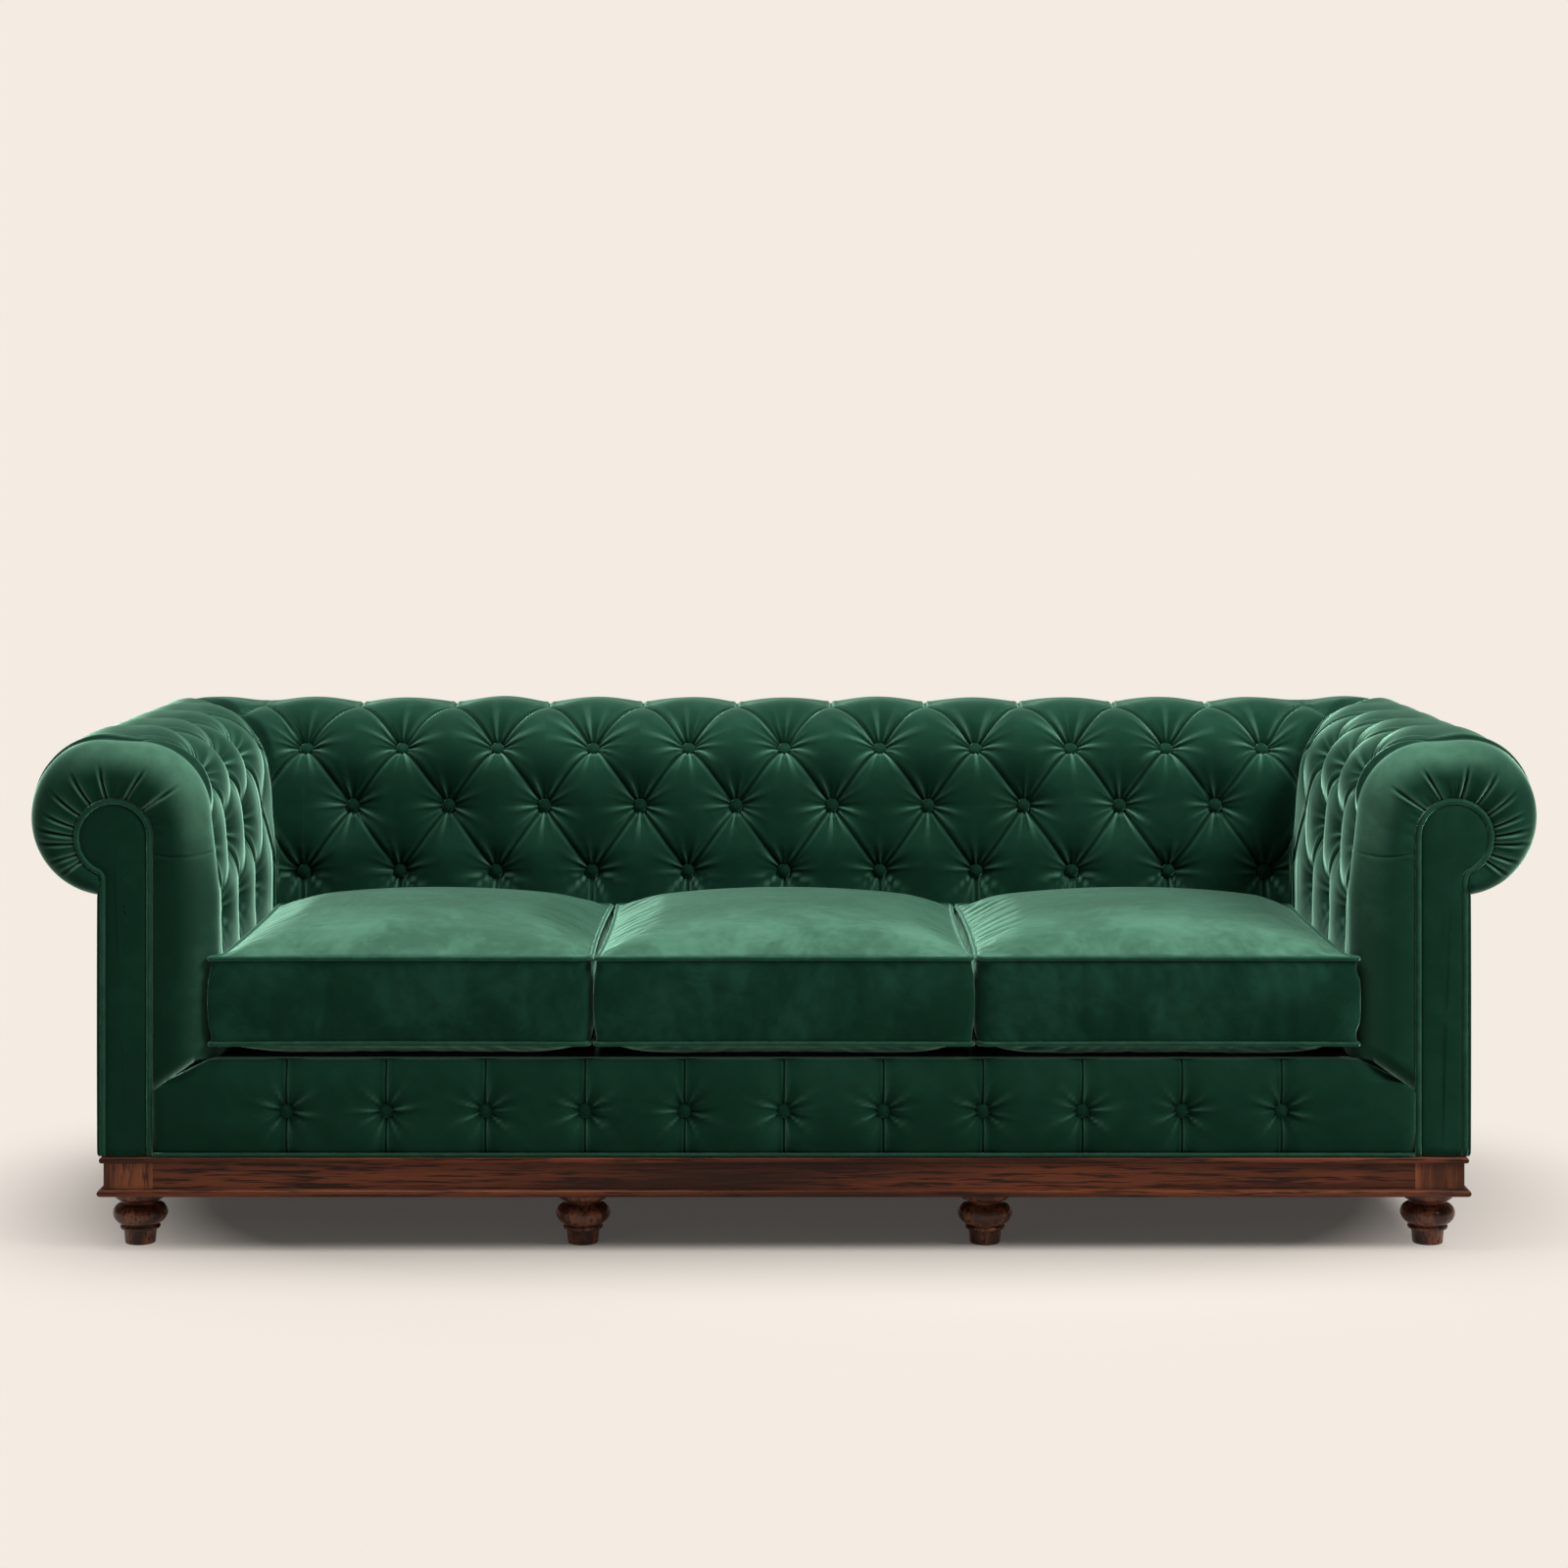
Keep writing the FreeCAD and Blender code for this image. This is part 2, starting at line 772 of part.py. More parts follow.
def make_platform():
    """Webbing straps over the rails, the padded platform and the dust cover."""
    low = seat_rail_top
    front = board_back + gap
    rear = back_face + core_in - gap
    half = inside_half + core_in - gap
    straps = []
    span = 2 * (half - web_width)
    for i in range(web_count_across):
        x = -half + web_width + span * i / (web_count_across - 1)
        straps.append(
            box((x - web_width / 2, x + web_width / 2), (front, rear), (low, low + web_thickness))
        )
    save("seat_webbing_front_to_back", *straps)
    straps = []
    span = rear - front - 2 * web_width
    for i in range(web_count_along):
        y = front + web_width + span * i / (web_count_along - 1)
        straps.append(
            box(
                (-half, half),
                (y - web_width / 2, y + web_width / 2),
                (low + web_thickness, low + 2 * web_thickness),
            )
        )
    save("seat_webbing_side_to_side", *straps)
    deck_low = low + 2 * web_thickness
    save("seat_platform", box((-half, half), (front, rear), (deck_low, deck_height - gap)))
    cover_levels = (side_rail_bottom - dust_cover_thickness, side_rail_bottom)
    save(
        "dust_cover",
        box(
            (-half - gap + 1, half + gap - 1),
            (board_back + seat_rail_thickness + 1, back_face + core_in - 1),
            cover_levels,
        ),
    )


def make_panels():
    """Outside arms and outside back, and the flat facings with piping on the arm fronts."""
    low = plinth_height + gap
    high = roll_height - roll_radius - gap
    arm = box(
        (-frame_half - gap - panel_thickness, -frame_half - gap),
        (board_front, frame_back + gap + panel_thickness),
        (low, high),
    )
    save("outside_arm_left", arm)
    save("outside_arm_right", mirrored(arm))
    save(
        "outside_back",
        box(
            (-frame_half, frame_half),
            (frame_back + gap, frame_back + gap + panel_thickness),
            (low, high),
        ),
    )
    inset = 2 * facing_piping_radius + 3 * gap
    facing = scroll_board(
        inset, facing_facets, left_arm_place(facing_y), low, vec(0, facing_thickness, 0)
    )
    save("arm_facing_left", facing)
    save("arm_facing_right", mirrored(facing))
    path_y = board_front - facing_piping_radius - gap
    middle = facing_piping_radius + gap
    path = scroll_outline(middle, facing_facets, left_arm_place(path_y), low)
    path = path[-1:] + path[:-1]
    piping = cord(path, vec(0, 1, 0), facing_piping_radius, piping_sides)
    save("arm_facing_piping_left", piping)
    save("arm_facing_piping_right", mirrored(piping))


# Front border
def border_section(x, pleat, dip):
    """Points over the border's face at x, drawn back by pleat, and by dip at its button."""
    points = []
    top = border_levels[-1]
    for level in border_levels:
        away = abs(2 * level / top - 1)
        back = border_bulge * away**2.5 + pleat
        if level == border_button_level:
            back += dip
        if level == top:
            back = border_top_depth
        points.append(vec(x, front_y + border_face + back, border_bottom + level))
    return points


def border_button_columns():
    return [(i - (border_buttons - 1) / 2) * border_pitch for i in range(border_buttons)]


def make_border():
    """Front border: one bulge to a pitch, pleats at the buttons, mitred under the arms."""
    end = inside_half + core_in - gap
    stations = [(-end, 0, 0)]
    for x in border_button_columns():
        stations += [
            (x - border_pitch / 3, 0, 0),
            (x - border_pleat_half, 1, 0),
            (x, border_pleat, border_dip),
            (x + border_pleat_half, 1, 0),
            (x + border_pitch / 3, 0, 0),
        ]
    stations.append((end, 0, 0))

    def behind(x):
        return [
            vec(x, board_back - gap, border_bottom + border_levels[-1]),
            vec(x, board_back - gap, border_bottom),
        ]

    border = padding([border_section(*station) for station in stations], behind(-end), behind(end))
    low = deck_height - border_mitre - 2
    high = deck_height + 1

    def mitre_x(z):
        climb = (z + 1.5 * gap - deck_height + border_mitre) / border_mitre
        return end + gap - border_mitre_width * climb

    for side in (-1, 1):
        corner = [
            vec(side * mitre_x(low), front_y - 1, low),
            vec(side * mitre_x(low), front_y - 1, high),
            vec(side * mitre_x(high), front_y - 1, high),
        ]
        border = border.cut(polygon_prism(corner, vec(0, board_back - front_y + 2, 0)))
    save("front_border", border)
    dip = front_y + border_face + border_pleat + border_dip
    away = abs(2 * border_button_level / border_levels[-1] - 1)
    dip += border_bulge * away**2.5
    buttons = []
    for x in border_button_columns():
        seat = vec(x, dip, border_bottom + border_button_level)
        buttons.append(seated(button(), seat, vec(0, -1, 0)))
    save("border_buttons", *buttons)


# Loose cushions
cushion_total = 2 * (inside_half - cushion_side_clearance)
cushion_width = (cushion_total - (cushion_count - 1) * cushion_gap) / cushion_count
cushion_y = (front_y + cushion_front, back_face - cushion_side_clearance)
crown_reach = crown_reach_share * (cushion_y[1] - cushion_y[0])
boxing_bottom = deck_height + boxing_above_deck
boxing_top = boxing_bottom + boxing_height


def cushion_outline(centre_x, inset, z, radius, turns=corner_steps, steps=side_steps):
    """Plan of a cushion at a height: round corners, and sides drawn in a little."""
    half_x = cushion_width / 2 - inset
    half_y = (cushion_y[1] - cushion_y[0]) / 2 - inset
    centre_y = (cushion_y[0] + cushion_y[1]) / 2
    reach = (half_x - radius, half_y - radius)
    points = []
    for quarter, (sign_x, sign_y) in enumerate(((1, 1), (-1, 1), (-1, -1), (1, -1))):
        for turn in range(turns + 1):
            angle = math.pi / 2 * (quarter + turn / turns)
            x = sign_x * reach[0] + radius * math.cos(angle)
            y = sign_y * reach[1] + radius * math.sin(angle)
            points.append((x, y))
        x, y = points[-1]
        run = 2 * (reach[0] if sign_x == sign_y else reach[1])
        for step in range(1, steps):
            share = step / steps
            draw = side_draw * half_x / (cushion_width / 2) * (1 - (2 * share - 1) ** 2)
            along = math.pi / 2 * (quarter + 2)
            across = math.pi / 2 * (quarter + 1)
            points.append(
                (
                    x + run * share * math.cos(along) - draw * math.cos(across),
                    y + run * share * math.sin(along) - draw * math.sin(across),
                )
            )
    return [vec(centre_x + x, centre_y + y, z) for x, y in points]


def cushion_cover_shape(centre_x):
    """Outside of a cushion: a low bulge, boxed sides between two rebates, and a crown."""
    ledge = boxing_bulge + 2 * piping_radius + 2 * gap
    rise = boxing_top + 2 * piping_radius + 2 * gap
    drop = boxing_bottom - 2 * piping_radius - 2 * gap
    belly = cushion_bottom_bulge - (boxing_bottom - drop)
    crown = boxing_top + cushion_crown - rise
    layers = [
        (70, drop - belly),
        (28, drop - belly * 0.7),
        (ledge + 3, drop),
        (ledge, boxing_bottom + seam_slope),
        (boxing_bulge, boxing_bottom),
        (0, boxing_bottom + bulge_band),
        (0, boxing_top - bulge_band),
        (boxing_bulge, boxing_top),
        (ledge, boxing_top - seam_slope),
    ]
    for share in (0.03, 0.22, 0.45, 0.7, 1):
        height = crown * (1 - (1 - share) ** 2)
        layers.append((ledge + (crown_reach - ledge) * share, rise + height))
    return flat_loft(
        [
            cushion_outline(centre_x, inset, z, cushion_corner + corner_growth * inset)
            for inset, z in layers
        ]
    )


def foam_shape(centre_x, skin):
    """The foam block inside the padded cover, made larger all over by skin."""
    side = wrap_thickness + side_draw + boxing_bulge
    crown = cushion_crown - wrap_thickness
    layers = [
        (side + 14, boxing_bottom - cushion_bottom_bulge + wrap_thickness - skin),
        (side, boxing_bottom),
        (side, boxing_top + skin / 2),
        (100, boxing_top + crown * 0.6 + skin),
        (crown_reach, boxing_top + crown + skin),
    ]
    return flat_loft(
        [
            cushion_outline(centre_x, inset - skin, z, foam_corner, 2, 1)
            for inset, z in layers
        ]
    )


def make_cushion(name, centre_x):
    """Padded cover with an opening in its rear boxing, foam, two cords and a placket."""
    outer = cushion_cover_shape(centre_x)
    cover = outer.cut(foam_shape(centre_x, gap))
    rear = cushion_y[1]
    middle = (boxing_bottom + boxing_top) / 2

    def slot(clearance):
        return box(
            (
                centre_x - placket_length / 2 + clearance,
                centre_x + placket_length / 2 - clearance,
            ),
            (rear - wrap_thickness - 3 * side_draw, rear + side_draw),
            (
                middle - placket_height / 2 + clearance,
                middle + placket_height / 2 - clearance,
            ),
        )

    save(f"{name}_placket", cover.common(slot(gap)))
    save(f"{name}_cover", cover.cut(slot(0)))
    save(f"{name}_filling", foam_shape(centre_x, 0))
    cord_inset = boxing_bulge + piping_radius + gap
    cords = []
    for z in (boxing_bottom - piping_radius - gap, boxing_top + piping_radius + gap):
        path = cushion_outline(centre_x, cord_inset, z, cushion_corner)
        cords.append(cord(path, vec(0, 0, 1), piping_radius, piping_sides, ring=True))
    save(f"{name}_piping", *cords)


def make_cushions():
    pitch = cushion_width + cushion_gap
    for index, name in enumerate(("cushion_left", "cushion_middle", "cushion_right")):
        make_cushion(name, (index - (cushion_count - 1) / 2) * pitch)


def make_pads():
    """Arm and back pads, with their buttons."""
    arm = left_arm_pad()
    save("arm_pad_left", arm)
    save("arm_pad_right", mirrored(arm))
    save("back_pad", back_pad())
    arm_buttons = buttons_for(left_arm_place, arm_columns())
    save("arm_buttons_left", *arm_buttons)
    save("arm_buttons_right", *[mirrored(one) for one in arm_buttons])
    save("back_buttons", *buttons_for(back_place, back_column_places()))


os.makedirs("parts", exist_ok=True)
make_plinth()
make_feet()
make_frame()
make_liners()
make_platform()
make_panels()
make_border()
make_pads()
make_cushions()
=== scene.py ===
import math

import bmesh
import bpy
import numpy as np
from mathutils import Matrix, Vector


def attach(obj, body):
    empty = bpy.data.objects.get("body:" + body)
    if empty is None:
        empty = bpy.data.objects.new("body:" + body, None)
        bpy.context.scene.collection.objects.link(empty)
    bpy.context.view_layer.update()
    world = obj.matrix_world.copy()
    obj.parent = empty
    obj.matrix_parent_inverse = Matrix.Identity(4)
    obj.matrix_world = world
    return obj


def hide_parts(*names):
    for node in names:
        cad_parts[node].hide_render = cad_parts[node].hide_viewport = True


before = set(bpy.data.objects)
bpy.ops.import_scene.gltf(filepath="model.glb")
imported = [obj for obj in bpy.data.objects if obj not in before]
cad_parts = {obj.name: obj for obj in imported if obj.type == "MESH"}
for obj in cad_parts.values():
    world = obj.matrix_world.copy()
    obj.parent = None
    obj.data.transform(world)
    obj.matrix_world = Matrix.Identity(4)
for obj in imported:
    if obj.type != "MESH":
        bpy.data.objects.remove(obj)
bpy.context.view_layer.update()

# Looks of a three-seat chesterfield sofa. Shapes are worked out in millimetres, in the same
# frame as the solids, and go into the meshes in metres.
MM = 0.001
WELD = 200  # points closer than 1/200 mm are one

# Sizes shared with the solids
FRONT_Y = -455.0
INSIDE_HALF = 869.0
BACK_FACE = 174.0
DECK = 291.0
LEAN_HEIGHT = 540.0
SHOULDER_IN = 127.0
ROLL_IN, ROLL_HEIGHT, ROLL_RADIUS = 166.0, 660.0, 113.0
ROLL_END = 84.0  # degrees below level at which the skin ends under the roll
CORE_IN, CORE_OUT = 96.0, 176.0
HEAD_IN, HEAD_HEIGHT, HEAD_RADIUS, HEAD_FILLET = 156.0, 630.0, 60.0, 10.0
FACING_FACE, FACING_REAR = -446.5, -438.2
PANEL_TOP = 546.7
PANEL_OUT, PANEL_END, PANEL_REAR = 1045.3, 355.3, 350.3
BORDER_LOW, BORDER_TALL, BORDER_HALF, BORDER_REAR = 143.3, 146.7, 964.5, -414.0
BORDER_PITCH, BORDER_BUTTON = 152.0, 69.0
TOE_DROP, TOE_FROM, TOE_RUN = 48.0, 28.0, 68.0  # where the border runs up under the arms
PLINTH_HALF, PLINTH_FACE, PLINTH_BACK = 1039.0, -446.0, 344.0
FOOT_IN, FOOT_DEEP, FOOT_MIDDLE = 46.0, 55.0, 310.0

# Buttoning: button rows by their length up the section, the last one without buttons
ROW_LENGTHS = np.array([210.0, 325.0, 436.0, 545.0])
ROWS = np.arange(4)
HALF_PITCH = 82.5
BACK_LAST, ARM_LAST = 10, 7  # columns of the last buttons
ARM_FIRST = -393.0
BUTTON_SINK = -27.0
DIPS = (29.0, 30.0, 30.0, 2.0)
DIP_WIDTH = 29.0
CROWNS = (1.0, 3.0, 10.0, 17.0)
CREASE_WIDTH, CREASE_DEPTH = 2.4, 2.8
FOLD_HEIGHT, FOLD_REACH = 1.9, 17.0
FAN_SOFTNESS = 0.05
MITRE_WIDTH = 7.0
STEPS = 30  # grid steps between neighbouring columns or rows

# Plain band round each scroll
BAND_DEPTH = 56.0
BAND_SWELL = 10.0
BAND_SEAM = 315.0
HEAD_PLEATS = (137, 108, 81, 56, 34, 15, 2, -9, -25, -37)

# Loose cushions
CUSHION_HALF = 288.83
CUSHION_PITCH = 578.67
CUSHION_Y = (-452.0, 172.5)
CUSHION_MIDDLE, CUSHION_REACH = sum(CUSHION_Y) / 2, (CUSHION_Y[1] - CUSHION_Y[0]) / 2
SEAM_LOW, SEAM_HIGH = 315.0, 445.5
CROWN, BELLY = 46.0, 20.0
FOAM_SHARE = (0.965, 0.965, 0.88)
MOST_MOVED = 0.009  # metres that the simulation may move a point


# Numbers and shapes
def rem(value, period=2.0):
    """Signed distance from the nearest multiple of the period."""
    return value - period * np.round(value / period)


def smooth(low, high, value):
    """0 up to low, 1 from high on, and a soft S between them."""
    t = np.clip((value - low) / (high - low), 0, 1)
    return t * t * (3 - 2 * t)


def gauss(value, width):
    """A bell: 1 at 0, and small beyond twice the width."""
    return np.exp(-((value / width) ** 2))


def chance(*numbers):
    """A repeatable number from -1 to 1 for each set of whole numbers."""
    mixed = sum(n * k for n, k in zip(numbers, (12.9898, 78.233, 37.719)))
    return 2 * np.modf(np.abs(np.sin(mixed + 4.7) * 43758.5453))[0] - 1


def unevenness(u, v, pitch):
    """Slow rise and fall of hand-laid stuffing: four crossed sine waves, from -1 to 1."""
    a, b = u / pitch, v / pitch
    waves = np.sin(a * 2.1 + 1.3 * np.sin(b)) + np.sin(b * 1.7 + 1.1 * np.sin(a * 1.3) + 2)
    waves += np.sin((a + b) * 3.3 + 1) * 0.6 + np.sin((a - b) * 4.1 + 0.5) * 0.5
    return waves / 3.1


def points_at(x, y, z):
    """Points from three arrays that spread to one shape."""
    return np.stack(np.broadcast_arrays(x, y, z), -1).astype(float)


def turned(profile, circle):
    """A profile of (radius, height) carried round a circle of (x, y)."""
    flat = profile[:, None, :1] * circle[None]
    return np.concatenate([flat, np.broadcast_to(profile[:, None, 1:], (*flat.shape[:2], 1))], -1)


def circle_of(count):
    """(x, y) of evenly spaced points on a circle of radius 1."""
    angle = np.linspace(0, 2 * np.pi, count, endpoint=False)
    return np.stack([np.cos(angle), np.sin(angle)], -1)


def tube(path, radius, across, ring=True):
    """Round cord: a circle of ten points carried along a path. Across is a unit vector at right
    angles to the path's plane. An open cord is closed by a point at each end."""
    along = np.roll(path, -1, 0) - np.roll(path, 1, 0) if ring else np.gradient(path, axis=0)
    along /= np.linalg.norm(along, axis=1, keepdims=True)
    side = np.cross(along, np.array(across, float))
    side /= np.linalg.norm(side, axis=1, keepdims=True)
    up = np.cross(side, along)
    turn = circle_of(10)[None, ..., None]
    points = path[:, None] + radius * (side[:, None] * turn[:, :, 0] + up[:, None] * turn[:, :, 1])
    if not ring:
        ends = np.repeat(path[[0, -1]][:, None], points.shape[1], axis=1)
        points = np.concatenate([ends[:1], points, ends[1:]])
    return points


# Meshes
def face_outwards(piece, fill=False):
    """Turns every face outwards. Fill first closes what is open, as at a facing's foot."""
    shape = bmesh.new()
    shape.from_mesh(piece.data)
    if fill:
        edges = [edge for edge in shape.edges if edge.is_boundary]
        bmesh.ops.holes_fill(shape, edges=edges, sides=0)
    bmesh.ops.recalc_face_normals(shape, faces=shape.faces)
    shape.to_mesh(piece.data)
    shape.free()
    piece.data.update()


def put_mesh(name, points, faces, slot, nodes=(), body="sofa"):
    """A smooth piece from points in millimetres and a list of faces, in place of its nodes."""
    mesh = bpy.data.meshes.new(name)
    mesh.from_pydata((points * MM).tolist(), [], faces)
    mesh.update()
    mesh.validate()
    mesh.polygons.foreach_set("use_smooth", [True] * len(mesh.polygons))
    piece = bpy.data.objects.new(name, mesh)
    bpy.context.scene.collection.objects.link(piece)
    mesh.materials.append(MATERIALS[slot])
    face_outwards(piece)
    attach(piece, body)
    if nodes:
        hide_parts(*nodes)
    return piece


def grid_faces(rows, columns, start=0, ring_rows=False, ring_columns=False):
    """Quads between neighbouring points of a grid, which may close on itself either way."""
    i = np.arange(rows if ring_rows else rows - 1)[:, None]
    j = np.arange(columns if ring_columns else columns - 1)[None, :]
    i2, j2 = (i + 1) % rows, (j + 1) % columns
    corners = [i * columns + j, i2 * columns + j, i2 * columns + j2, i * columns + j2]
    return np.stack(np.broadcast_arrays(*corners), -1).reshape(-1, 4) + start


def welding(points):
    """For points that coincide: the first one of each place, and the place of every point."""
    keys = np.round(points * WELD).astype(np.int64)
    first, index = np.unique(keys, axis=0, return_index=True, return_inverse=True)[1:]
    return first, index.reshape(-1)


def put_grids(name, grids, slot, nodes=(), body="sofa"):
    """A closed piece from grids of points, each with two flags that say whether it closes on
    itself. The grids are welded where they meet, and quads without width become triangles.
    Gives the piece, and the number of its point for each point of the grids."""
    points = np.concatenate([one[0].reshape(-1, 3) for one in grids])
    parts, start = [], 0
    for grid, *rings in grids:
        parts.append(grid_faces(*grid.shape[:2], start, *rings))
        start += grid.shape[0] * grid.shape[1]
    first, index = welding(points)
    faces = index[np.concatenate(parts)]
    same = faces == np.roll(faces, -1, axis=1)
    narrow = same.sum(axis=1) == 1
    triangles = faces[narrow][~same[narrow]].reshape(-1, 3).tolist()
    piece = put_mesh(name, points[first], faces[~same.any(axis=1)].tolist() + triangles, slot, nodes, body)
    return piece, index


def mark(piece, index, values):
    """Writes the crease attribute, painted shade where positive and painted highlight where negative, at the
    named points, and 0 elsewhere.
    """
    spots = np.zeros(len(piece.data.vertices), np.float32)
    spots[index] = np.ravel(values)
    piece.data.attributes.new("crease", "FLOAT", "POINT").data.foreach_set("value", spots)


# Materials
def feed(tree, made, links):
    """Sets a node's inputs, by name or number: a socket is linked, and a value is written."""
    for key, value in links.items():
        if isinstance(value, bpy.types.NodeSocket):
            tree.links.new(value, made.inputs[key])
        else:
            made.inputs[key].default_value = value


class Recipe:
    """The nodes of one material or node group, and short names for the usual ones."""

    def __init__(self, tree):
        self.tree = tree

    def node(self, kind, links=None, **settings):
        made = self.tree.nodes.new("ShaderNode" + kind)
        for key, value in settings.items():
            setattr(made, key, value)
        feed(self.tree, made, links or {})
        return made

    def place(self):
        return self.node("TexCoord").outputs["Object"]

    def noise(self, where, scale, detail=3.0, roughness=0.55):
        links = {"Vector": where, "Scale": scale, "Detail": detail, "Roughness": roughness}
        return self.node("TexNoise", links).outputs["Fac"]

    def maths(self, operation, a, b, clamp=False):
        return self.node("Math", {0: a, 1: b}, operation=operation, use_clamp=clamp).outputs[0]

    def plus(self, a, b, clamp=False):
        return self.maths("ADD", a, b, clamp)

    def times(self, a, b, clamp=False):
        return self.maths("MULTIPLY", a, b, clamp)

    def vector(self, operation, links):
        return self.node("VectorMath", links, operation=operation)

    def mix(self, share, a, b, kind="MIX"):
        return self.node("Mix", {0: share, 6: a, 7: b}, data_type="RGBA", blend_type=kind).outputs[2]

    def ramp(self, value, low, high):
        links = {"Value": value, "From Min": low, "From Max": high}
        return self.node("MapRange", links, interpolation_type="SMOOTHSTEP").outputs["Result"]

    def bump(self, height, strength, distance):
        links = {"Height": height, "Strength": strength, "Distance": distance}
        return self.node("Bump", links).outputs["Normal"]


def new_group(name, colours, values):
    """An empty node group with colour and value inputs, and the three outputs all groups have."""
    tree = bpy.data.node_groups.new(name, "ShaderNodeTree")
    for kind, labels in (("NodeSocketColor", colours), ("NodeSocketFloat", values)):
        for label in labels:
            tree.interface.new_socket(label, in_out="INPUT", socket_type=kind)
    for label in ("Color", "Roughness", "Height"):
        kind = "NodeSocketColor" if label == "Color" else "NodeSocketFloat"
        tree.interface.new_socket(label, in_out="OUTPUT", socket_type=kind)
    return Recipe(tree), tree.nodes.new("NodeGroupInput").outputs, tree.nodes.new("NodeGroupOutput")


def nap_and_painted_light_group():
    """Velvet pile: patches of brushed pile and single tufts of pile, with painted light. The attribute
    crease paints shade where it is 1, deep in a fold or round a button, and a highlight where it is -1, on a
    ridge."""
    colours = ("Deep", "Brushed", "Painted Highlight")
    recipe, inputs, out = new_group("velvet nap and painted light", colours, ("Patch Scale", "Patches"))
    plus, times = recipe.plus, recipe.times
    where = recipe.place()
    links = {"Vector": where, "Scale": 5.0, "Detail": 2.0}
    wander = recipe.node("TexNoise", links).outputs["Color"]
    shift = recipe.vector("SCALE", {0: wander, "Scale": 0.12}).outputs[0]
    moved = recipe.vector("ADD", {0: where, 1: shift}).outputs[0]
    broad = recipe.noise(moved, inputs["Patch Scale"], 4.0, 0.6)
    small = recipe.noise(moved, times(inputs["Patch Scale"], 5.3), 3.0, 0.6)
    pile = recipe.noise(where, 900.0, 2.0, 0.7)
    patch = recipe.ramp(plus(times(broad, 0.72), times(small, 0.28)), 0.40, 0.66)
    colour = recipe.mix(times(patch, inputs["Patches"]), inputs["Deep"], inputs["Brushed"])
    crease = recipe.node("Attribute", attribute_name="crease").outputs["Fac"]
    # Painted highlight: the third colour is mixed in where the crease mask is negative.
    painted_light = times(crease, times(plus(patch, 1.2), -0.42), True)
    colour = recipe.mix(painted_light, colour, inputs["Painted Highlight"])
    speckle = plus(times(pile, 0.5), 0.75)
    # Painted shade: darker where the crease mask is positive, times the pile's own speckle.
    light = times(recipe.maths("SUBTRACT", 1.0, times(crease, 0.75, True)), speckle)
    shade = recipe.node("CombineColor", {0: light, 1: light, 2: light}).outputs[0]
    height = plus(plus(broad, times(small, 0.35)), times(pile, 0.03))
    feed(recipe.tree, out, {
        "Color": recipe.mix(1.0, colour, shade, "MULTIPLY"),
        "Roughness": plus(times(patch, -0.12), 0.82),
        "Height": height,
    })
    return recipe.tree


def wood_group():
    """Wood grain along one axis: wandering growth bands, streaks and fine dark pores."""
    recipe, inputs, out = new_group("wood grain", ("Dark", "Light"), ("Band Scale",))
    recipe.tree.interface.new_socket("Vector", in_out="INPUT", socket_type="NodeSocketVector")
    plus, times = recipe.plus, recipe.times
    where = inputs["Vector"]
    wander = times(recipe.noise(where, 1.6, 2.0), 0.35)
    aside = recipe.node("CombineXYZ", {"X": 0.0, "Y": wander, "Z": 0.0}).outputs[0]
    bent = recipe.vector("ADD", {0: where, 1: aside}).outputs[0]
    links = {"Vector": bent, "Scale": inputs["Band Scale"]}
    links.update({"Distortion": 5.0, "Detail": 3.0, "Detail Scale": 1.2})
    wave = recipe.node("TexWave", links, bands_direction="Y").outputs["Fac"]
    streak = recipe.noise(where, 55.0, 6.0, 0.7)
    pores = recipe.noise(where, 210.0, 2.0, 0.7)
    share = recipe.ramp(plus(times(wave, 0.35), times(streak, 0.9)), 0.3, 0.95)
    colour = recipe.mix(share, inputs["Dark"], inputs["Light"])
    pore = recipe.ramp(pores, 0.36, 0.52)
    feed(recipe.tree, out, {
        "Color": recipe.mix(pore, inputs["Dark"], colour),
        "Roughness": plus(times(streak, 0.18), 0.32),
        "Height": plus(pore, times(wave, 0.3)),
    })
    return recipe.tree


NAP_AND_PAINTED_LIGHT = nap_and_painted_light_group()
GRAIN = wood_group()


def new_material(name):
    """A material with its shader: its recipe, and what feeds the shader's inputs."""
    made = bpy.data.materials.new(name)
    made.use_nodes = True
    tree = made.node_tree
    return made, Recipe(tree), lambda links: feed(tree, tree.nodes["Principled BSDF"], links)


def grouped(name, group, inputs, bump_strength, relief, uniform):
    """A material whose colour, roughness and height come from one node group."""
    made, recipe, finish = new_material(name)
    source = recipe.node("Group", inputs(recipe), node_tree=group).outputs
    finish({"Base Color": source["Color"], "Roughness": source["Roughness"]})
    finish({"Normal": recipe.bump(source["Height"], bump_strength, relief)})
    finish(uniform)
    return made


def velvet(name, deep, paler, patch_scale, patches, relief):
    """Velvet: the nap's colours, a painted highlight colour for fold ridges, hardly any gloss, and a green
    sheen at glancing angles.
    """
    inputs = {
        # The third colour is a painted highlight, mixed in where the crease mask is negative.
        "Deep": (*deep, 1), "Brushed": (*paler, 1), "Painted Highlight": (0.075, 0.185, 0.126, 1),
        "Patch Scale": patch_scale, "Patches": patches,
    }
    uniform = {"Specular IOR Level": 0.03, "Sheen Weight": 1.0, "Sheen Roughness": 0.30}
    uniform["Sheen Tint"] = (0.46, 0.90, 0.68, 1)
    return grouped(name, NAP_AND_PAINTED_LIGHT, lambda recipe: inputs, 0.5, relief, uniform)


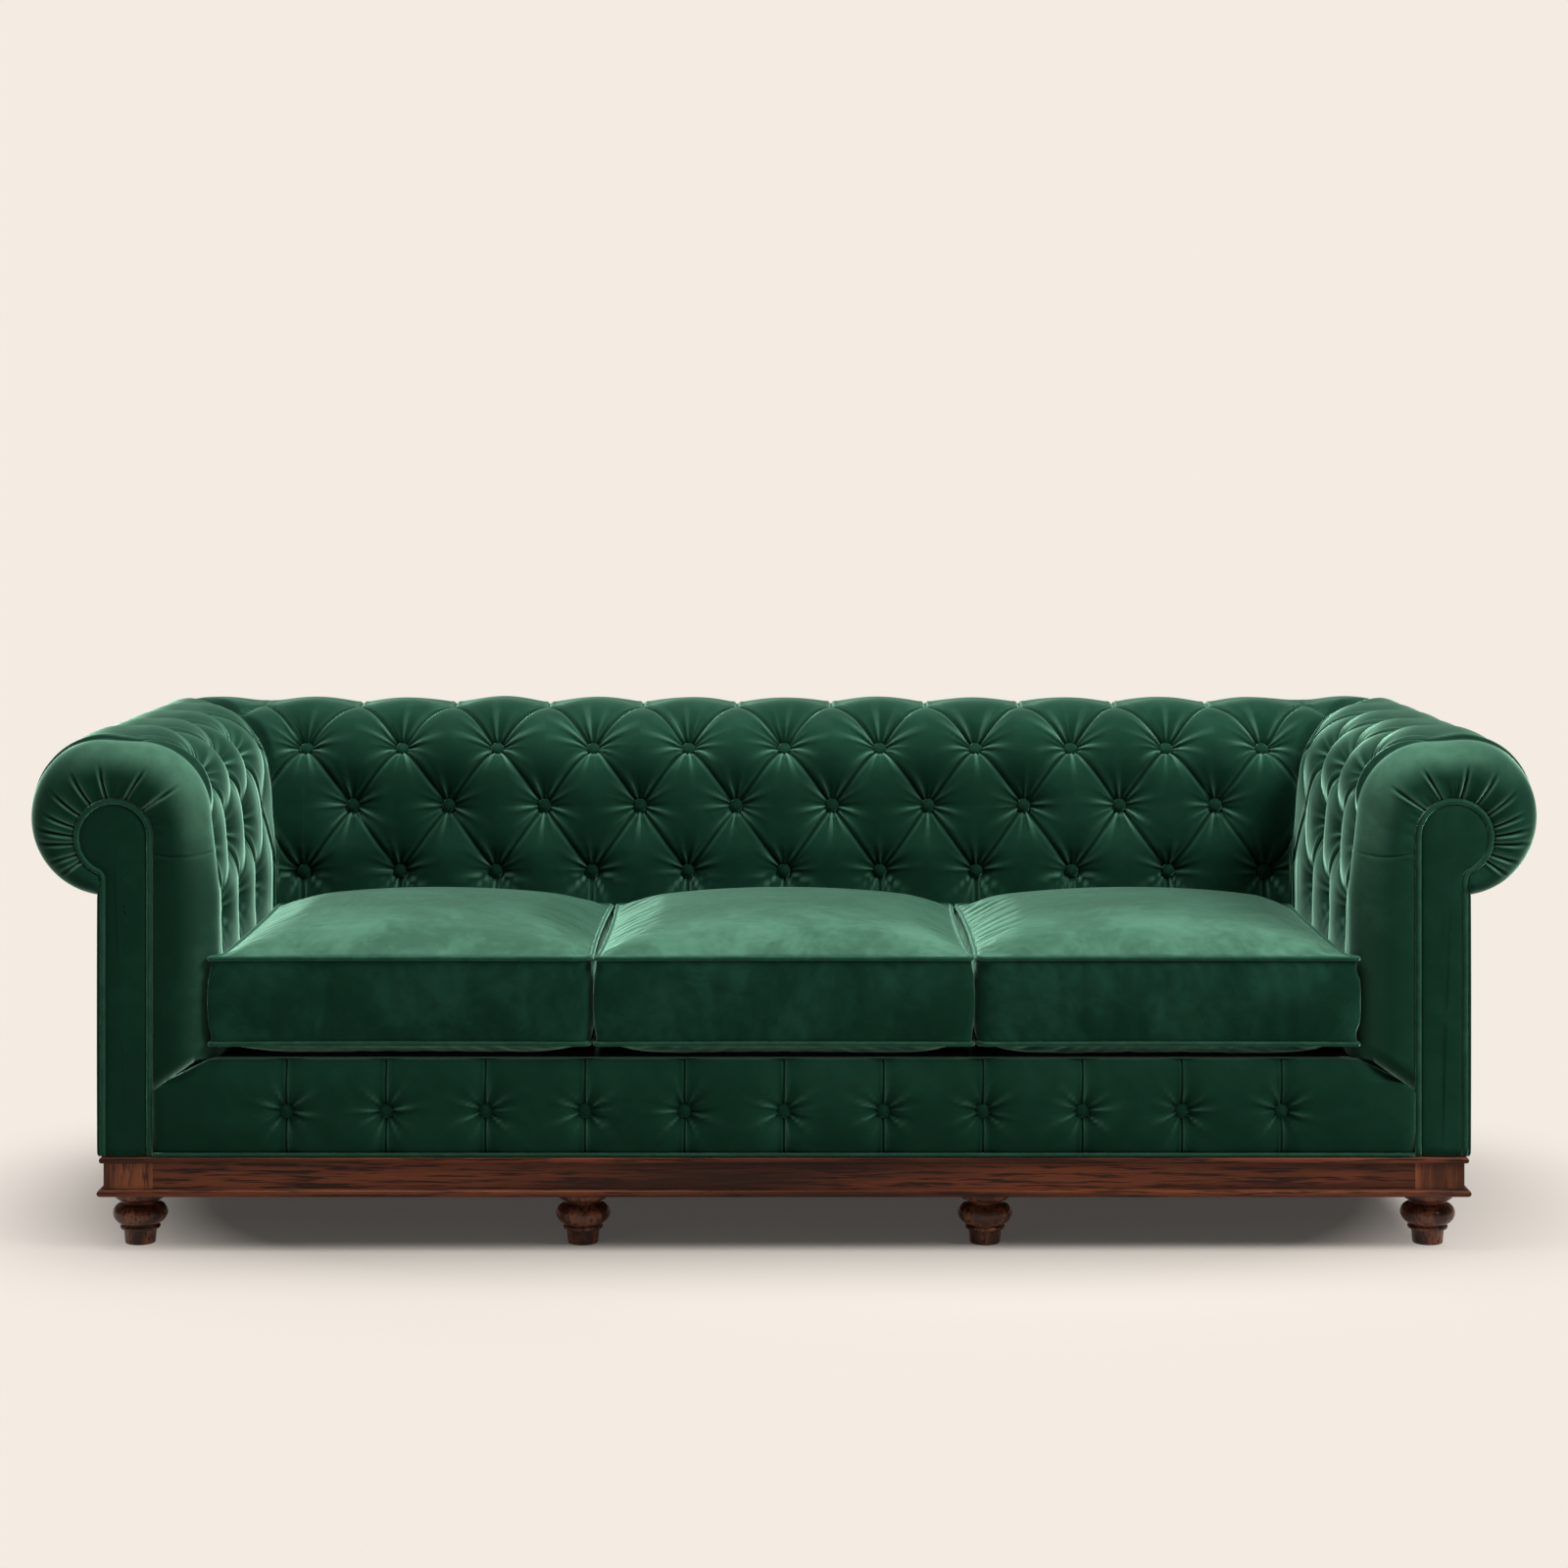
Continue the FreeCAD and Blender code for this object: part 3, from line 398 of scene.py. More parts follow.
def wood(name, dark, light, stretch, band_scale, coat=0.05):
    """Polished wood. Stretch is small along the grain."""

    def inputs(recipe):
        mapped = recipe.node("Mapping", {"Vector": recipe.place(), "Scale": stretch}).outputs[0]
        colours = {"Dark": (*dark, 1), "Light": (*light, 1)}
        return {"Vector": mapped, "Band Scale": band_scale, **colours}

    uniform = {"Specular IOR Level": 0.14, "Coat Weight": coat, "Coat Roughness": 0.22}
    return grouped(name, GRAIN, inputs, 0.25, 0.0004, uniform)


def cloth(name, base, thread, scale, relief):
    """Plain woven cloth: crossed threads from two waves, with uneven colour."""
    made, recipe, finish = new_material(name)
    where = recipe.place()
    links = {"Vector": where, "Scale": scale, "Distortion": 0.6}
    warp, weft = (recipe.node("TexWave", links, bands_direction=way).outputs["Fac"] for way in "XY")
    weave = recipe.times(warp, weft)
    uneven = recipe.noise(where, 18.0, 4.0)
    share = recipe.plus(recipe.times(weave, 0.7), recipe.times(uneven, 0.4), True)
    finish({"Base Color": recipe.mix(share, (*base, 1), (*thread, 1)), "Roughness": 0.85})
    finish({"Normal": recipe.bump(weave, 0.5, relief)})
    return made


def metal(name):
    """Zinc plating: cloudy grey, with a roughness that follows the clouds."""
    made, recipe, finish = new_material(name)
    cloud = recipe.noise(recipe.place(), 60.0, 4.0)
    colour = recipe.mix(cloud, (0.42, 0.43, 0.44, 1), (0.62, 0.62, 0.6, 1))
    rough = recipe.plus(recipe.times(cloud, 0.3), 0.25)
    finish({"Base Color": colour, "Roughness": rough, "Metallic": 1.0})
    return made


def cellular(name):
    """Foam: open cells as a fine bump, with a yellowed tone."""
    made, recipe, finish = new_material(name)
    where = recipe.place()
    cells = recipe.node("TexVoronoi", {"Vector": where, "Scale": 420.0}).outputs["Distance"]
    tone = recipe.noise(where, 7.0, 3.0)
    colour = recipe.mix(tone, (0.78, 0.72, 0.52, 1), (0.66, 0.58, 0.38, 1))
    finish({"Base Color": colour, "Roughness": 0.9, "Normal": recipe.bump(cells, 0.5, 0.0008)})
    return made


PILE = ((0.0034, 0.0230, 0.0128), (0.0070, 0.0400, 0.0240))
CUSHION_PILE = ((0.0034, 0.0240, 0.0135), (0.0085, 0.0470, 0.0290))
# Piping velvet is the same cloth painted lighter: a painted highlight along the round cords.
PIPING_PILE_WITH_PAINTED_HIGHLIGHT = ((0.0080, 0.0420, 0.0250), (0.0180, 0.0750, 0.0470))
MAHOGANY = ((0.020, 0.0058, 0.0030), (0.125, 0.032, 0.0115))
UPRIGHT = ((0.045, 0.013, 0.006), (0.21, 0.066, 0.026))
TURNED = (MAHOGANY[0], (0.17, 0.058, 0.028))
BEECH = ((0.36, 0.22, 0.11), (0.60, 0.42, 0.24))
HARDBOARD = ((0.17, 0.09, 0.045), (0.28, 0.16, 0.085))
MATERIALS = {
    "velvet": velvet("velvet", *PILE, 6.0, 0.45, 0.0025),
    "velvet_cushions": velvet("velvet_cushions", *CUSHION_PILE, 8.0, 0.7, 0.006),
    "velvet_buttons": velvet("velvet_buttons", *PILE, 60.0, 0.4, 0.0004),
    "velvet_piping": velvet("velvet_piping", *PIPING_PILE_WITH_PAINTED_HIGHLIGHT, 30.0, 0.5, 0.0004),
    "mahogany": wood("mahogany", *MAHOGANY, (0.05, 1, 1), 9.0),
    "beech": wood("beech", *BEECH, (0.08, 1, 1), 12.0, coat=0.0),
    "hardboard": wood("hardboard", *HARDBOARD, (0.6, 1, 1), 30.0, coat=0.0),
    "zinc_steel": metal("zinc_steel"),
    "webbing": cloth("webbing", (0.05, 0.045, 0.04), (0.13, 0.12, 0.10), 160.0, 0.0006),
    "platform_felt": cloth("platform_felt", (0.008, 0.03, 0.02), (0.02, 0.06, 0.042), 220.0, 0.0004),
    "black_lining": cloth("black_lining", (0.006,) * 3, (0.02,) * 3, 240.0, 0.0003),
    "foam": cellular("foam"),
}
MAHOGANY_UPRIGHT = wood("mahogany_upright", *UPRIGHT, (1, 1, 0.09), 9.0)
MAHOGANY_SIDE = wood("mahogany_side", *MAHOGANY, (1, 0.09, 1), 9.0)
MAHOGANY_TURNED = wood("mahogany_turned", *TURNED, (1, 1, 0.3), 12.0, coat=0.35)

# Lengths up the section that the arms and the back share, as in the solids
LEAN_RISE = ROLL_HEIGHT - LEAN_HEIGHT
LEAN_REACH = math.hypot(SHOULDER_IN, LEAN_RISE)
LEAN = math.atan2(LEAN_RISE, SHOULDER_IN) + math.asin(ROLL_RADIUS / LEAN_REACH)
FACE_END = LEAN_HEIGHT - DECK
LEAN_END = FACE_END + math.sqrt(LEAN_REACH**2 - ROLL_RADIUS**2)
SHOULDER_END = LEAN_END + LEAN * ROLL_RADIUS
TOP_END = SHOULDER_END + ROLL_IN - SHOULDER_IN
SKIN_END = TOP_END + math.radians(90 + ROLL_END) * ROLL_RADIUS
GROOVES = (
    (0, 100, 170, 210, 436, 500, 560, 600, 700, 800, SKIN_END),
    (6, 8, 8, 7, 5, 0, -5, -8, -6, -1, 0),
)


def section(length, proud):
    """(in, height) at a length up the section, moved out by proud: a straight face, a lean, a
    round shoulder, a flat top and a round roll. Also the outward direction in radians."""
    shoulder = np.pi / 2 + (SHOULDER_END - length) / ROLL_RADIUS
    roll = np.pi / 2 - (length - TOP_END) / ROLL_RADIUS
    parts = [length <= end for end in (FACE_END, LEAN_END, SHOULDER_END, TOP_END)]
    along = length - FACE_END
    out = np.select(parts, [np.pi, np.pi / 2 + LEAN, shoulder, np.pi / 2], roll)
    bend, flat = SHOULDER_IN + ROLL_RADIUS * np.cos(shoulder), SHOULDER_IN + length - SHOULDER_END
    across = np.select(parts, [0, along * np.cos(LEAN), bend, flat], ROLL_IN + ROLL_RADIUS * np.cos(roll))
    bend, flat = ROLL_HEIGHT + ROLL_RADIUS * np.sin(shoulder), ROLL_HEIGHT + ROLL_RADIUS
    lean = LEAN_HEIGHT + along * np.sin(LEAN)
    height = np.select(parts, [DECK + length, lean, bend, flat], ROLL_HEIGHT + ROLL_RADIUS * np.sin(roll))
    return across + proud * np.cos(out), height + proud * np.sin(out), out


CORE_TURN = ((HEAD_HEIGHT - DECK, SHOULDER_END, TOP_END, SKIN_END), (180, 90, 88, -68))


def core(length):
    """(in, height) on the wooden core behind that length: straight up, then round the head."""
    angle = np.radians(np.interp(length, *CORE_TURN))
    straight = length < HEAD_HEIGHT - DECK
    across = np.where(straight, CORE_IN, HEAD_IN + HEAD_RADIUS * np.cos(angle))
    return across, np.where(straight, DECK + length, HEAD_HEIGHT + HEAD_RADIUS * np.sin(angle))


def tufting(c, length, last_button, fan=0.0):
    """Height of the buttoned skin, and its crease mask of painted light: painted shade (positive)
    in creases and round buttons, painted highlight (negative) on fold ridges and beside creases.
    C counts half pitches, and buttons sit where c and the row are both even or both odd. Puffs
    are powers of crossed sines, buttons are bell-shaped dips with cosine folds round them, and
    creases are narrow V lines with a raised lip. Fan is 1 where the sections fan out to a
    mitre, and softens the creases there."""
    row = np.interp(length, ROW_LENGTHS, ROWS)
    rising, falling = rem(c + row), rem(row - c)
    fan = fan * smooth(SHOULDER_END - 40, TOP_END + 40, length)
    puff = np.abs(np.sin(np.pi / 2 * rising) * np.sin(np.pi / 2 * falling))
    puff = np.sqrt(puff**2 + FAN_SOFTNESS * fan) / np.sqrt(1 + FAN_SOFTNESS * fan)
    puff = puff ** np.interp(row, [0, 2, 3], [0.66, 0.66, 0.5])
    over = np.sin(np.pi / 2 - np.maximum(length - TOP_END, 0) / ROLL_RADIUS)
    crown = np.where(length > TOP_END, 6 + 11 * np.maximum(over, 0) ** 2, np.interp(row, ROWS, CROWNS))
    diamond = chance(np.floor((c + row) / 2), np.floor((row - c) / 2))
    height = crown * puff + 1.2 * diamond * puff**2 - np.interp(length, *GROOVES) * (1 - puff)
    nearest = np.full(np.broadcast(c, length).shape, 1e3)
    wrinkles, painted_light = 0, 0
    for k, depth in enumerate(DIPS):
        column = rem(c - k)
        across, up = HALF_PITCH * column, length - ROW_LENGTHS[k]
        away = np.hypot(across, up)
        real = (np.abs(c - column) <= last_button) | (k == 3)
        height = height - depth * np.exp(-((away / DIP_WIDTH) ** 1.25)) * real
        if k == 3:
            continue
        turn = np.arctan2(up, across)
        number = np.round(c - column)
        fold = np.cos(14 * turn + 3 * chance(number, k * 1.0))
        fold = fold + 0.7 * np.cos(9 * turn + 5 * chance(k * 1.0, number))
        sideways = 0.45 + 0.55 * np.abs(np.cos(turn + 0.35))
        reach = away / (FOLD_REACH + 6 * (k == 2) * smooth(-12, 20, up))
        spread = sideways * reach**2 * np.exp(2 - 2 * reach) * real
        wrinkles = wrinkles + FOLD_HEIGHT * fold * spread
        # Painted highlight on the ridges of the folds, stronger below the button, and a painted lit rim on
        # the lower side of each socket.
        painted_light = painted_light + np.clip(fold - 0.3, 0, 1) * spread * (0.9 + 0.3 * (up < 0))
        painted_light = painted_light + 0.45 * gauss(away - 16, 4) * np.clip(-up / 14, 0, 1) * real
        nearest = np.where(real, np.minimum(nearest, away), nearest)
    clear = 1 - gauss(nearest, 15)
    lower, upper = length < ROW_LENGTHS[0], length > ROW_LENGTHS[3]
    slanting = 66 * np.minimum(np.abs(rising), np.abs(falling))
    above = np.where(upper, HALF_PITCH * np.abs(rem(c - 1)), slanting)
    span = np.where(lower, HALF_PITCH * np.abs(rem(c)), above)
    fade = np.interp(length, [0, 150, 700, 850], [0.6, 1, 1, 0.0]) * (1 - fan)
    height = height + wrinkles - CREASE_DEPTH * gauss(span, CREASE_WIDTH) * clear * fade
    lip = gauss(66 * rising - 8, 3.2) + gauss(66 * falling - 8, 3.2)
    height = height + 1.4 * lip * clear * ~(lower | upper)
    height = height + 0.9 * gauss(span - 6, 3.0) * upper * fade
    # Painted shade in the creases and round each button, less a thin painted highlight beside each crease.
    dark = gauss(span, CREASE_WIDTH) * fade * 0.6 + gauss(nearest, 13) * 0.9
    painted_light = painted_light + 0.3 * clear * fade * gauss(span - 4.5, 1.8)
    return height, np.clip(dark - painted_light, -1, 1)


def spaced(low, high):
    """Grid steps from low to high, finer near the whole numbers."""
    t = np.linspace(low, high, (high - low) * STEPS + 1)
    return t - np.sin(2 * np.pi * t) / (4 * np.pi)


def skin_lengths(extra=()):
    """Lengths up the section at which the skin has points."""
    lower = [0, 25, 50, 75, 100, 120, 140, 155, 168, 180, 190, 198, 204]
    rows = np.interp(spaced(0, 3), ROWS, ROW_LENGTHS)
    top = np.linspace(ROW_LENGTHS[3], TOP_END, 12)[1:]
    roll = TOP_END + (SKIN_END - TOP_END) * np.linspace(0, 1, 42)[1:]
    return np.unique(np.round(np.concatenate([lower, rows, top, roll, extra]), 3))


def inner_path():
    """(in, height) of the pad's hidden side, from the roll's end back to the deck."""
    lengths = np.array([SKIN_END, 880, 820, 760, 700, 640, 590, 545, 500, 440, 380, 339, 150, 0])
    across, height = core(lengths)
    outer_in, outer_z = section(np.array([SKIN_END]), 0)[:2]
    return np.concatenate([outer_in - 4, across]), np.concatenate([outer_z + 3, height])


# Buttoned pads
def fold_cells(rows, columns, lattice_c, lattice_row):
    """Triangles of a pad's grid, each cell folded along the crease that is nearest to it."""
    quads = grid_faces(rows, columns, ring_columns=True).reshape(rows - 1, columns, 4)
    c = (lattice_c[1:] + lattice_c[:-1])[:, None] / 2
    row = (lattice_row + np.roll(lattice_row, -1))[None, :] / 2
    swap = (np.abs(rem(c + row)) < np.abs(rem(row - c)))[..., None]
    a, b, d, e = np.moveaxis(quads, -1, 0)
    one = np.where(swap, np.stack([a, b, e], -1), np.stack([a, b, d], -1))
    two = np.where(swap, np.stack([b, d, e], -1), np.stack([a, d, e], -1))
    return np.concatenate([one.reshape(-1, 3), two.reshape(-1, 3)])


def put_pad(name, points, lattice_c, lengths, crease, node):
    """A pad from its grid of points: sections as closed loops, skin first and then hidden side."""
    rows, columns = points.shape[:2]
    lattice_row = np.full(columns, 1.5)
    lattice_row[: len(lengths)] = np.interp(lengths, ROW_LENGTHS, ROWS)
    first, index = welding(points.reshape(-1, 3))
    faces = index[fold_cells(rows, columns, lattice_c, lattice_row)]
    real = (faces != np.roll(faces, -1, axis=1)).all(axis=1)
    piece = put_mesh(name, points.reshape(-1, 3)[first], faces[real].tolist(), "velvet", [node])
    values = np.zeros((rows, columns))
    values[:, : len(lengths)] = crease
    mark(piece, slice(None), values.reshape(-1)[first])


def closed_ends(points, lengths, place):
    """Adds a section at each end that lies on the core, which closes the pad."""
    across, height = (np.concatenate(pair) for pair in zip(core(lengths), inner_path()))
    first, last = (points_at(*place(across, height, end))[None] for end in (-1, 1))
    return np.concatenate([first, points, last])


def mitred(proud, away):
    """Draws the skin in to a shallow valley at the mitre."""
    mitre = gauss(away, MITRE_WIDTH)
    return proud * (1 - mitre) - mitre


def make_back_pad():
    """Back: the section carried along X, fanned out to the slanting plane at each arm."""
    lengths = skin_lengths()
    line = lengths[None, :]
    ends = np.linspace(0, 1, STEPS + 3)[1:]
    edge = np.full(len(ends), float(BACK_LAST))
    columns = np.concatenate([-edge, spaced(-BACK_LAST, BACK_LAST), edge])[:, None]
    share = np.concatenate([-ends[::-1], np.zeros(len(columns) - 2 * len(ends)), ends])[:, None]

    def place(depth):
        return columns * HALF_PITCH + share * (INSIDE_HALF + depth - BACK_LAST * HALF_PITCH)

    base_in = section(line, 0.0)[0]
    x = place(base_in)
    proud, crease = tufting(x / HALF_PITCH, line, BACK_LAST + 0.2, smooth(0, 0.12, np.abs(share)))
    proud = proud + 0.9 * unevenness(x, line, 60)
    depth, height = section(line, mitred(proud, INSIDE_HALF + base_in - np.abs(x)))[:2]
    inner_in, inner_z = (part[None, :] for part in inner_path())
    skin = points_at(place(depth), BACK_FACE + depth, height)
    hidden = points_at(place(inner_in), BACK_FACE + inner_in, inner_z)
    points = np.concatenate([skin, hidden], 1)
    points = closed_ends(points, lengths, lambda d, z, end: (end * (INSIDE_HALF + d), BACK_FACE + d, z))
    lattice = np.concatenate([[-12], place(0.0)[:, 0] / HALF_PITCH, [12]])
    crease = np.concatenate([crease[:1], crease, crease[-1:]])
    put_pad("back_pad_velvet", points, lattice, lengths, crease, "back_pad")


def band_front(lengths, pleat_lengths, swell):
    """Front of the plain band, as a grid from the piping (u = 0) to the full section (u = 1): a
    quarter ellipse, with a lip by the piping, short radial pleats and a seam at the side. Gives
    its points on the left arm, and its painted light: painted shade along the pleats, painted
    highlights beside them, and a painted sheen over the band's upper side towards the seat."""
    line = lengths[None, :]
    base_in, base_z = section(line, swell)[:2]
    core_in, core_z = core(line)
    lip = np.linspace(0, 1, 19)[:-1, None] * np.pi / 2
    edge = np.linspace(0, 1, 22)[:, None] * np.pi / 2
    top_share = 0.40
    u = np.concatenate([top_share * (1 - np.cos(lip) ** 1.1), 1 - (1 - top_share) * (1 - np.sin(edge))])
    y = np.concatenate([15 * (1 - np.sin(lip)) ** 0.9, BAND_DEPTH * (1 - np.cos(edge))])
    u, y = u + 0 * line, FRONT_Y + y + 0 * line
    painted_light = 0 * u
    for number, at in enumerate(pleat_lengths):
        reach = 0.80 + 0.18 * chance(float(number), 3.0)
        run = smooth(-0.03, 0.05, u) * (1 - smooth(reach * 0.35, reach, u))
        beside = np.abs(line - at)
        y = y + run * (gauss(beside, 3.2) * 6.5 - gauss(beside - 9, 4.5) * 2.0)
        # Painted highlight beside each pleat and painted shade along it.
        painted_light = painted_light + run * (gauss(beside - 6, 2.4) * 0.75 - gauss(beside, 2.4) * 0.8)
    y = y + 2.6 * gauss(line - BAND_SEAM + 4 * np.sin(np.pi * u), 1.8) * smooth(0.03, 0.1, u)
    # Painted sheen: the band's upper side towards the seat is painted lighter, as if lit from above.
    seat_side = smooth(250, 380, line) * (1 - smooth(590, 720, line)) + 0.35 * (1 - smooth(250, 380, line))
    painted_light = painted_light + 0.55 * smooth(0.35, 0.85, u) * seat_side
    y = y + 1.2 * unevenness(line, u * 60, 40) * np.sin(np.pi * u)
    gathers = np.cos(line / 4.0 + 2 * np.sin(line / 23)) * gauss(u - 0.1, 0.13)
    y = y + 0.9 * gathers * (line > HEAD_HEIGHT - DECK - 60)
    front_in = core_in + (base_in - core_in) * u
    front_z = core_z + (base_z - core_z) * u
    toe = TOE_DROP * np.clip((front_in - TOE_FROM) / TOE_RUN, 0, 1) * np.clip(1 - line / 90, 0, 1)
    return points_at(-INSIDE_HALF - front_in, y, front_z - toe), painted_light


def make_arm_pad(side):
    """Arm: a rounded plain band that starts at the facing, then buttoning up to the back."""
    places, turns = (part[::-1] for part in CORE_TURN)
    pleat_lengths = np.interp(HEAD_PLEATS[::-1], turns, places)
    beside = np.array([0, 1.6, 3.2, 5, 7, 10, 13])
    fine = (pleat_lengths + np.concatenate([-beside[:0:-1], beside])[:, None]).ravel()
    fine = np.concatenate([fine, BAND_SEAM + np.array([-6, -4, -2.5, -1.2, 0, 1.2, 2.5, 4, 6])])
    lengths = skin_lengths(fine[(fine > 0) & (fine < SKIN_END - 1)])
    line = lengths[None, :]
    swell = BAND_SWELL * smooth(SHOULDER_END, TOP_END + 90, line)
    front, painted_light = band_front(lengths, pleat_lengths, swell)

    # behind the band, the section carried along Y
    band_end = FRONT_Y + BAND_DEPTH
    band = np.linspace(band_end, ARM_FIRST, 12)[1:-1]
    tufts = ARM_FIRST + HALF_PITCH * spaced(0, ARM_LAST - 1)
    ends = np.linspace(0, 1, STEPS + 6)[1:]
    column_y = np.concatenate([band, tufts, np.full(len(ends), tufts[-1])])[:, None]
    share = np.concatenate([0 * band, 0 * tufts, ends])[:, None]

    def place(depth):
        return column_y + share * (BACK_FACE + depth - tufts[-1])

    base_in = section(line, swell)[0]
    y = place(base_in)
    c = (y - ARM_FIRST) / HALF_PITCH + 1
    proud, crease = tufting(np.maximum(c, 1.0), line, ARM_LAST - 0.8, smooth(0, 0.12, share))
    spill = tufting(c, line, ARM_LAST - 0.8)[0]
    before = np.maximum(ARM_FIRST - y, 0)
    proud = np.where(before > 0, np.minimum(proud, spill), proud) * gauss(before, 15)
    crease = crease * gauss(before, 6)
    proud = proud + 0.9 * unevenness(y, line + 300 * side, 60)
    joined = smooth(band_end, band_end + 12, y)
    band_swell = swell * (1 - smooth(band_end, ARM_FIRST + 30, y))
    depth, height = section(line, mitred(proud, BACK_FACE + base_in - y) * joined + band_swell)[:2]
    skin = np.concatenate([front, points_at(-INSIDE_HALF - depth, place(depth), height)])

    inner_in, inner_z = (part[None, :] for part in inner_path())
    start_y = FRONT_Y + 15.0
    hidden_y = np.concatenate([np.full((len(front), inner_in.size), start_y), place(inner_in)])
    points = np.concatenate([skin, points_at(-INSIDE_HALF - inner_in, hidden_y, inner_z)], 1)
    points = closed_ends(
        points, lengths, lambda d, z, end: (-INSIDE_HALF - d, BACK_FACE + d if end > 0 else start_y, z)
    )
    # The band's painted light and the buttoning's mask in one attribute: painted shade positive, painted
    # highlight negative.
    crease = np.concatenate([np.zeros((1, len(lengths))), -painted_light, crease, crease[-1:]])
    lattice = np.concatenate([np.full(len(front) + 1, 0.5), c[:, 0], [ARM_LAST + 0.5]])
    points[..., 0] *= -side
    word = "left" if side < 0 else "right"
    put_pad(f"arm_pad_velvet_{word}", points, lattice, lengths, crease, f"arm_pad_{word}")


# Buttons
BUTTON_PROFILE = np.array([
    (0.1, -6), (6, -6), (9.6, -5), (11, -1.5), (11.2, 0.8),
    (10.4, 3.0), (8.4, 4.8), (5.4, 6.0), (2.4, 6.5), (0.0, 6.6),
])


def put_buttons(name, centres, outwards, node_name):
    """Buttons in one piece: each a rounded dome over a drawn-in edge, spun round its outward
    direction, with a rim that nine small gathers pinch."""
    circle = circle_of(20)
    circle = circle * (1 + 0.012 * np.cos(9 * np.linspace(0, 2 * np.pi, 20, endpoint=False)))[:, None]
    outwards = np.array(outwards, float)
    outwards /= np.linalg.norm(outwards, axis=1, keepdims=True)
    guide = np.where(np.abs(outwards[:, :1]) < 0.9, [[1.0, 0, 0]], [[0, 1.0, 0]])
    across = np.cross(guide, outwards)
    across /= np.linalg.norm(across, axis=1, keepdims=True)
    axes = np.stack([across, np.cross(outwards, across), outwards], 1)
    points = np.array(centres)[:, None, None] + turned(BUTTON_PROFILE, circle) @ axes[:, None]
    put_grids(name, [(one, False, True) for one in points], "velvet_buttons", [node_name])


def tuft_buttons(columns, place, turn):
    """Centres and directions of the buttons: even columns on rows 0 and 2, odd ones on row 1."""
    centres, outwards = [], []
    for column in columns:
        for k in (0, 2) if column % 2 == 0 else (1,):
            across, height, out = (float(part[0]) for part in section(ROW_LENGTHS[k : k + 1], BUTTON_SINK))
            centres.append(place(column, across, height))
            outwards.append(turn(math.cos(out), math.sin(out)))
    return centres, outwards


def make_buttons():
    """The buttons of the back, of the arms and of the front border."""
    found = tuft_buttons(
        range(-BACK_LAST, BACK_LAST + 1),
        lambda c, d, z: (c * HALF_PITCH, BACK_FACE + d, z),
        lambda a, b: (0, a, b),
    )
    put_buttons("back_buttons_velvet", *found, "back_buttons")
    for side, word in ((-1, "left"), (1, "right")):
        found = tuft_buttons(
            range(1, ARM_LAST + 1),
            lambda c, d, z: (side * (INSIDE_HALF + d), ARM_FIRST + (c - 1) * HALF_PITCH, z),
            lambda a, b: (side * a, 0, b),
        )
        put_buttons(f"arm_buttons_velvet_{word}", *found, f"arm_buttons_{word}")
    centres = [(x * BORDER_PITCH, FRONT_Y + 20, BORDER_LOW + BORDER_BUTTON) for x in range(-5, 6)]
    put_buttons("border_buttons_velvet", centres, [(0, -1.0, 0)] * 11, "border_buttons")


# Scroll facings
def keyhole(inset, foot):
    """(in, height) round the post and its round head, drawn in by inset, from the outer foot
    over the head to the inner foot: straight, a small fillet, an arc, straight."""
    radius, fillet, outer = HEAD_RADIUS - inset, HEAD_FILLET + inset, CORE_OUT - inset
    centre_in = outer + fillet
    drop = math.sqrt((radius + fillet) ** 2 - (centre_in - HEAD_IN) ** 2)
    touch = math.atan2(-drop, centre_in - HEAD_IN)

    def arc(centre, height, size, start, end, count):
        angle = np.linspace(start, end, count)
        return np.stack([centre + size * np.cos(angle), height + size * np.sin(angle)], -1)

    def straight(across, start, end):
        return np.stack(np.broadcast_arrays(across, np.linspace(start, end, 30)), -1)

    return np.concatenate([
        straight(outer, foot, HEAD_HEIGHT - drop)[:-1],
        arc(centre_in, HEAD_HEIGHT - drop, fillet, np.pi, touch + np.pi, 10)[:-1],
        arc(HEAD_IN, HEAD_HEIGHT, radius, touch, np.pi, 60),
        straight(CORE_IN + inset, HEAD_HEIGHT, foot)[1:],
    ])


def make_facings():
    """Flat keyhole panels, slightly padded: lines from a spine up the middle to the outline,
    rounded at the edge, and the same behind. The piping runs round them."""
    foot = BORDER_LOW + 1
    outline = keyhole(8.0, foot)
    middle = (CORE_IN + CORE_OUT) / 2
    spine_z = np.minimum(outline[:, 1], HEAD_HEIGHT)
    spine_in = middle + (HEAD_IN - middle) * smooth(560, HEAD_HEIGHT, spine_z)
    u = np.array([0, 0.25, 0.5, 0.7, 0.82, 0.9, 0.955, 0.985, 1.0])[:, None]
    across, height = spine_in * (1 - u) + outline[:, 0] * u, spine_z * (1 - u) + outline[:, 1] * u
    dome = 2.4 * (1 - u**2) - 3.2 * u**14 + 0.35 * unevenness(across, height, 50)
    cord = keyhole(4.1, foot)
    for side, word in ((-1, "left"), (1, "right")):
        x = side * (INSIDE_HALF + across)
        front, back = points_at(x, FACING_FACE - dome, height), points_at(x, FACING_REAR, height)
        grids = [(np.concatenate([front, back[::-1]]), False, False)]
        piece = put_grids(f"arm_facing_velvet_{word}", grids, "velvet", [f"arm_facing_{word}"])[0]
        face_outwards(piece, fill=True)
        path = points_at(side * (INSIDE_HALF + cord[:, 0]), -444.0, cord[:, 1])
        grids = [(tube(path, 4.3, (0, 1, 0), ring=False), False, True)]
        name = f"arm_facing_piping_velvet_{word}"
        put_grids(name, grids, "velvet_piping", [f"arm_facing_piping_{word}"])


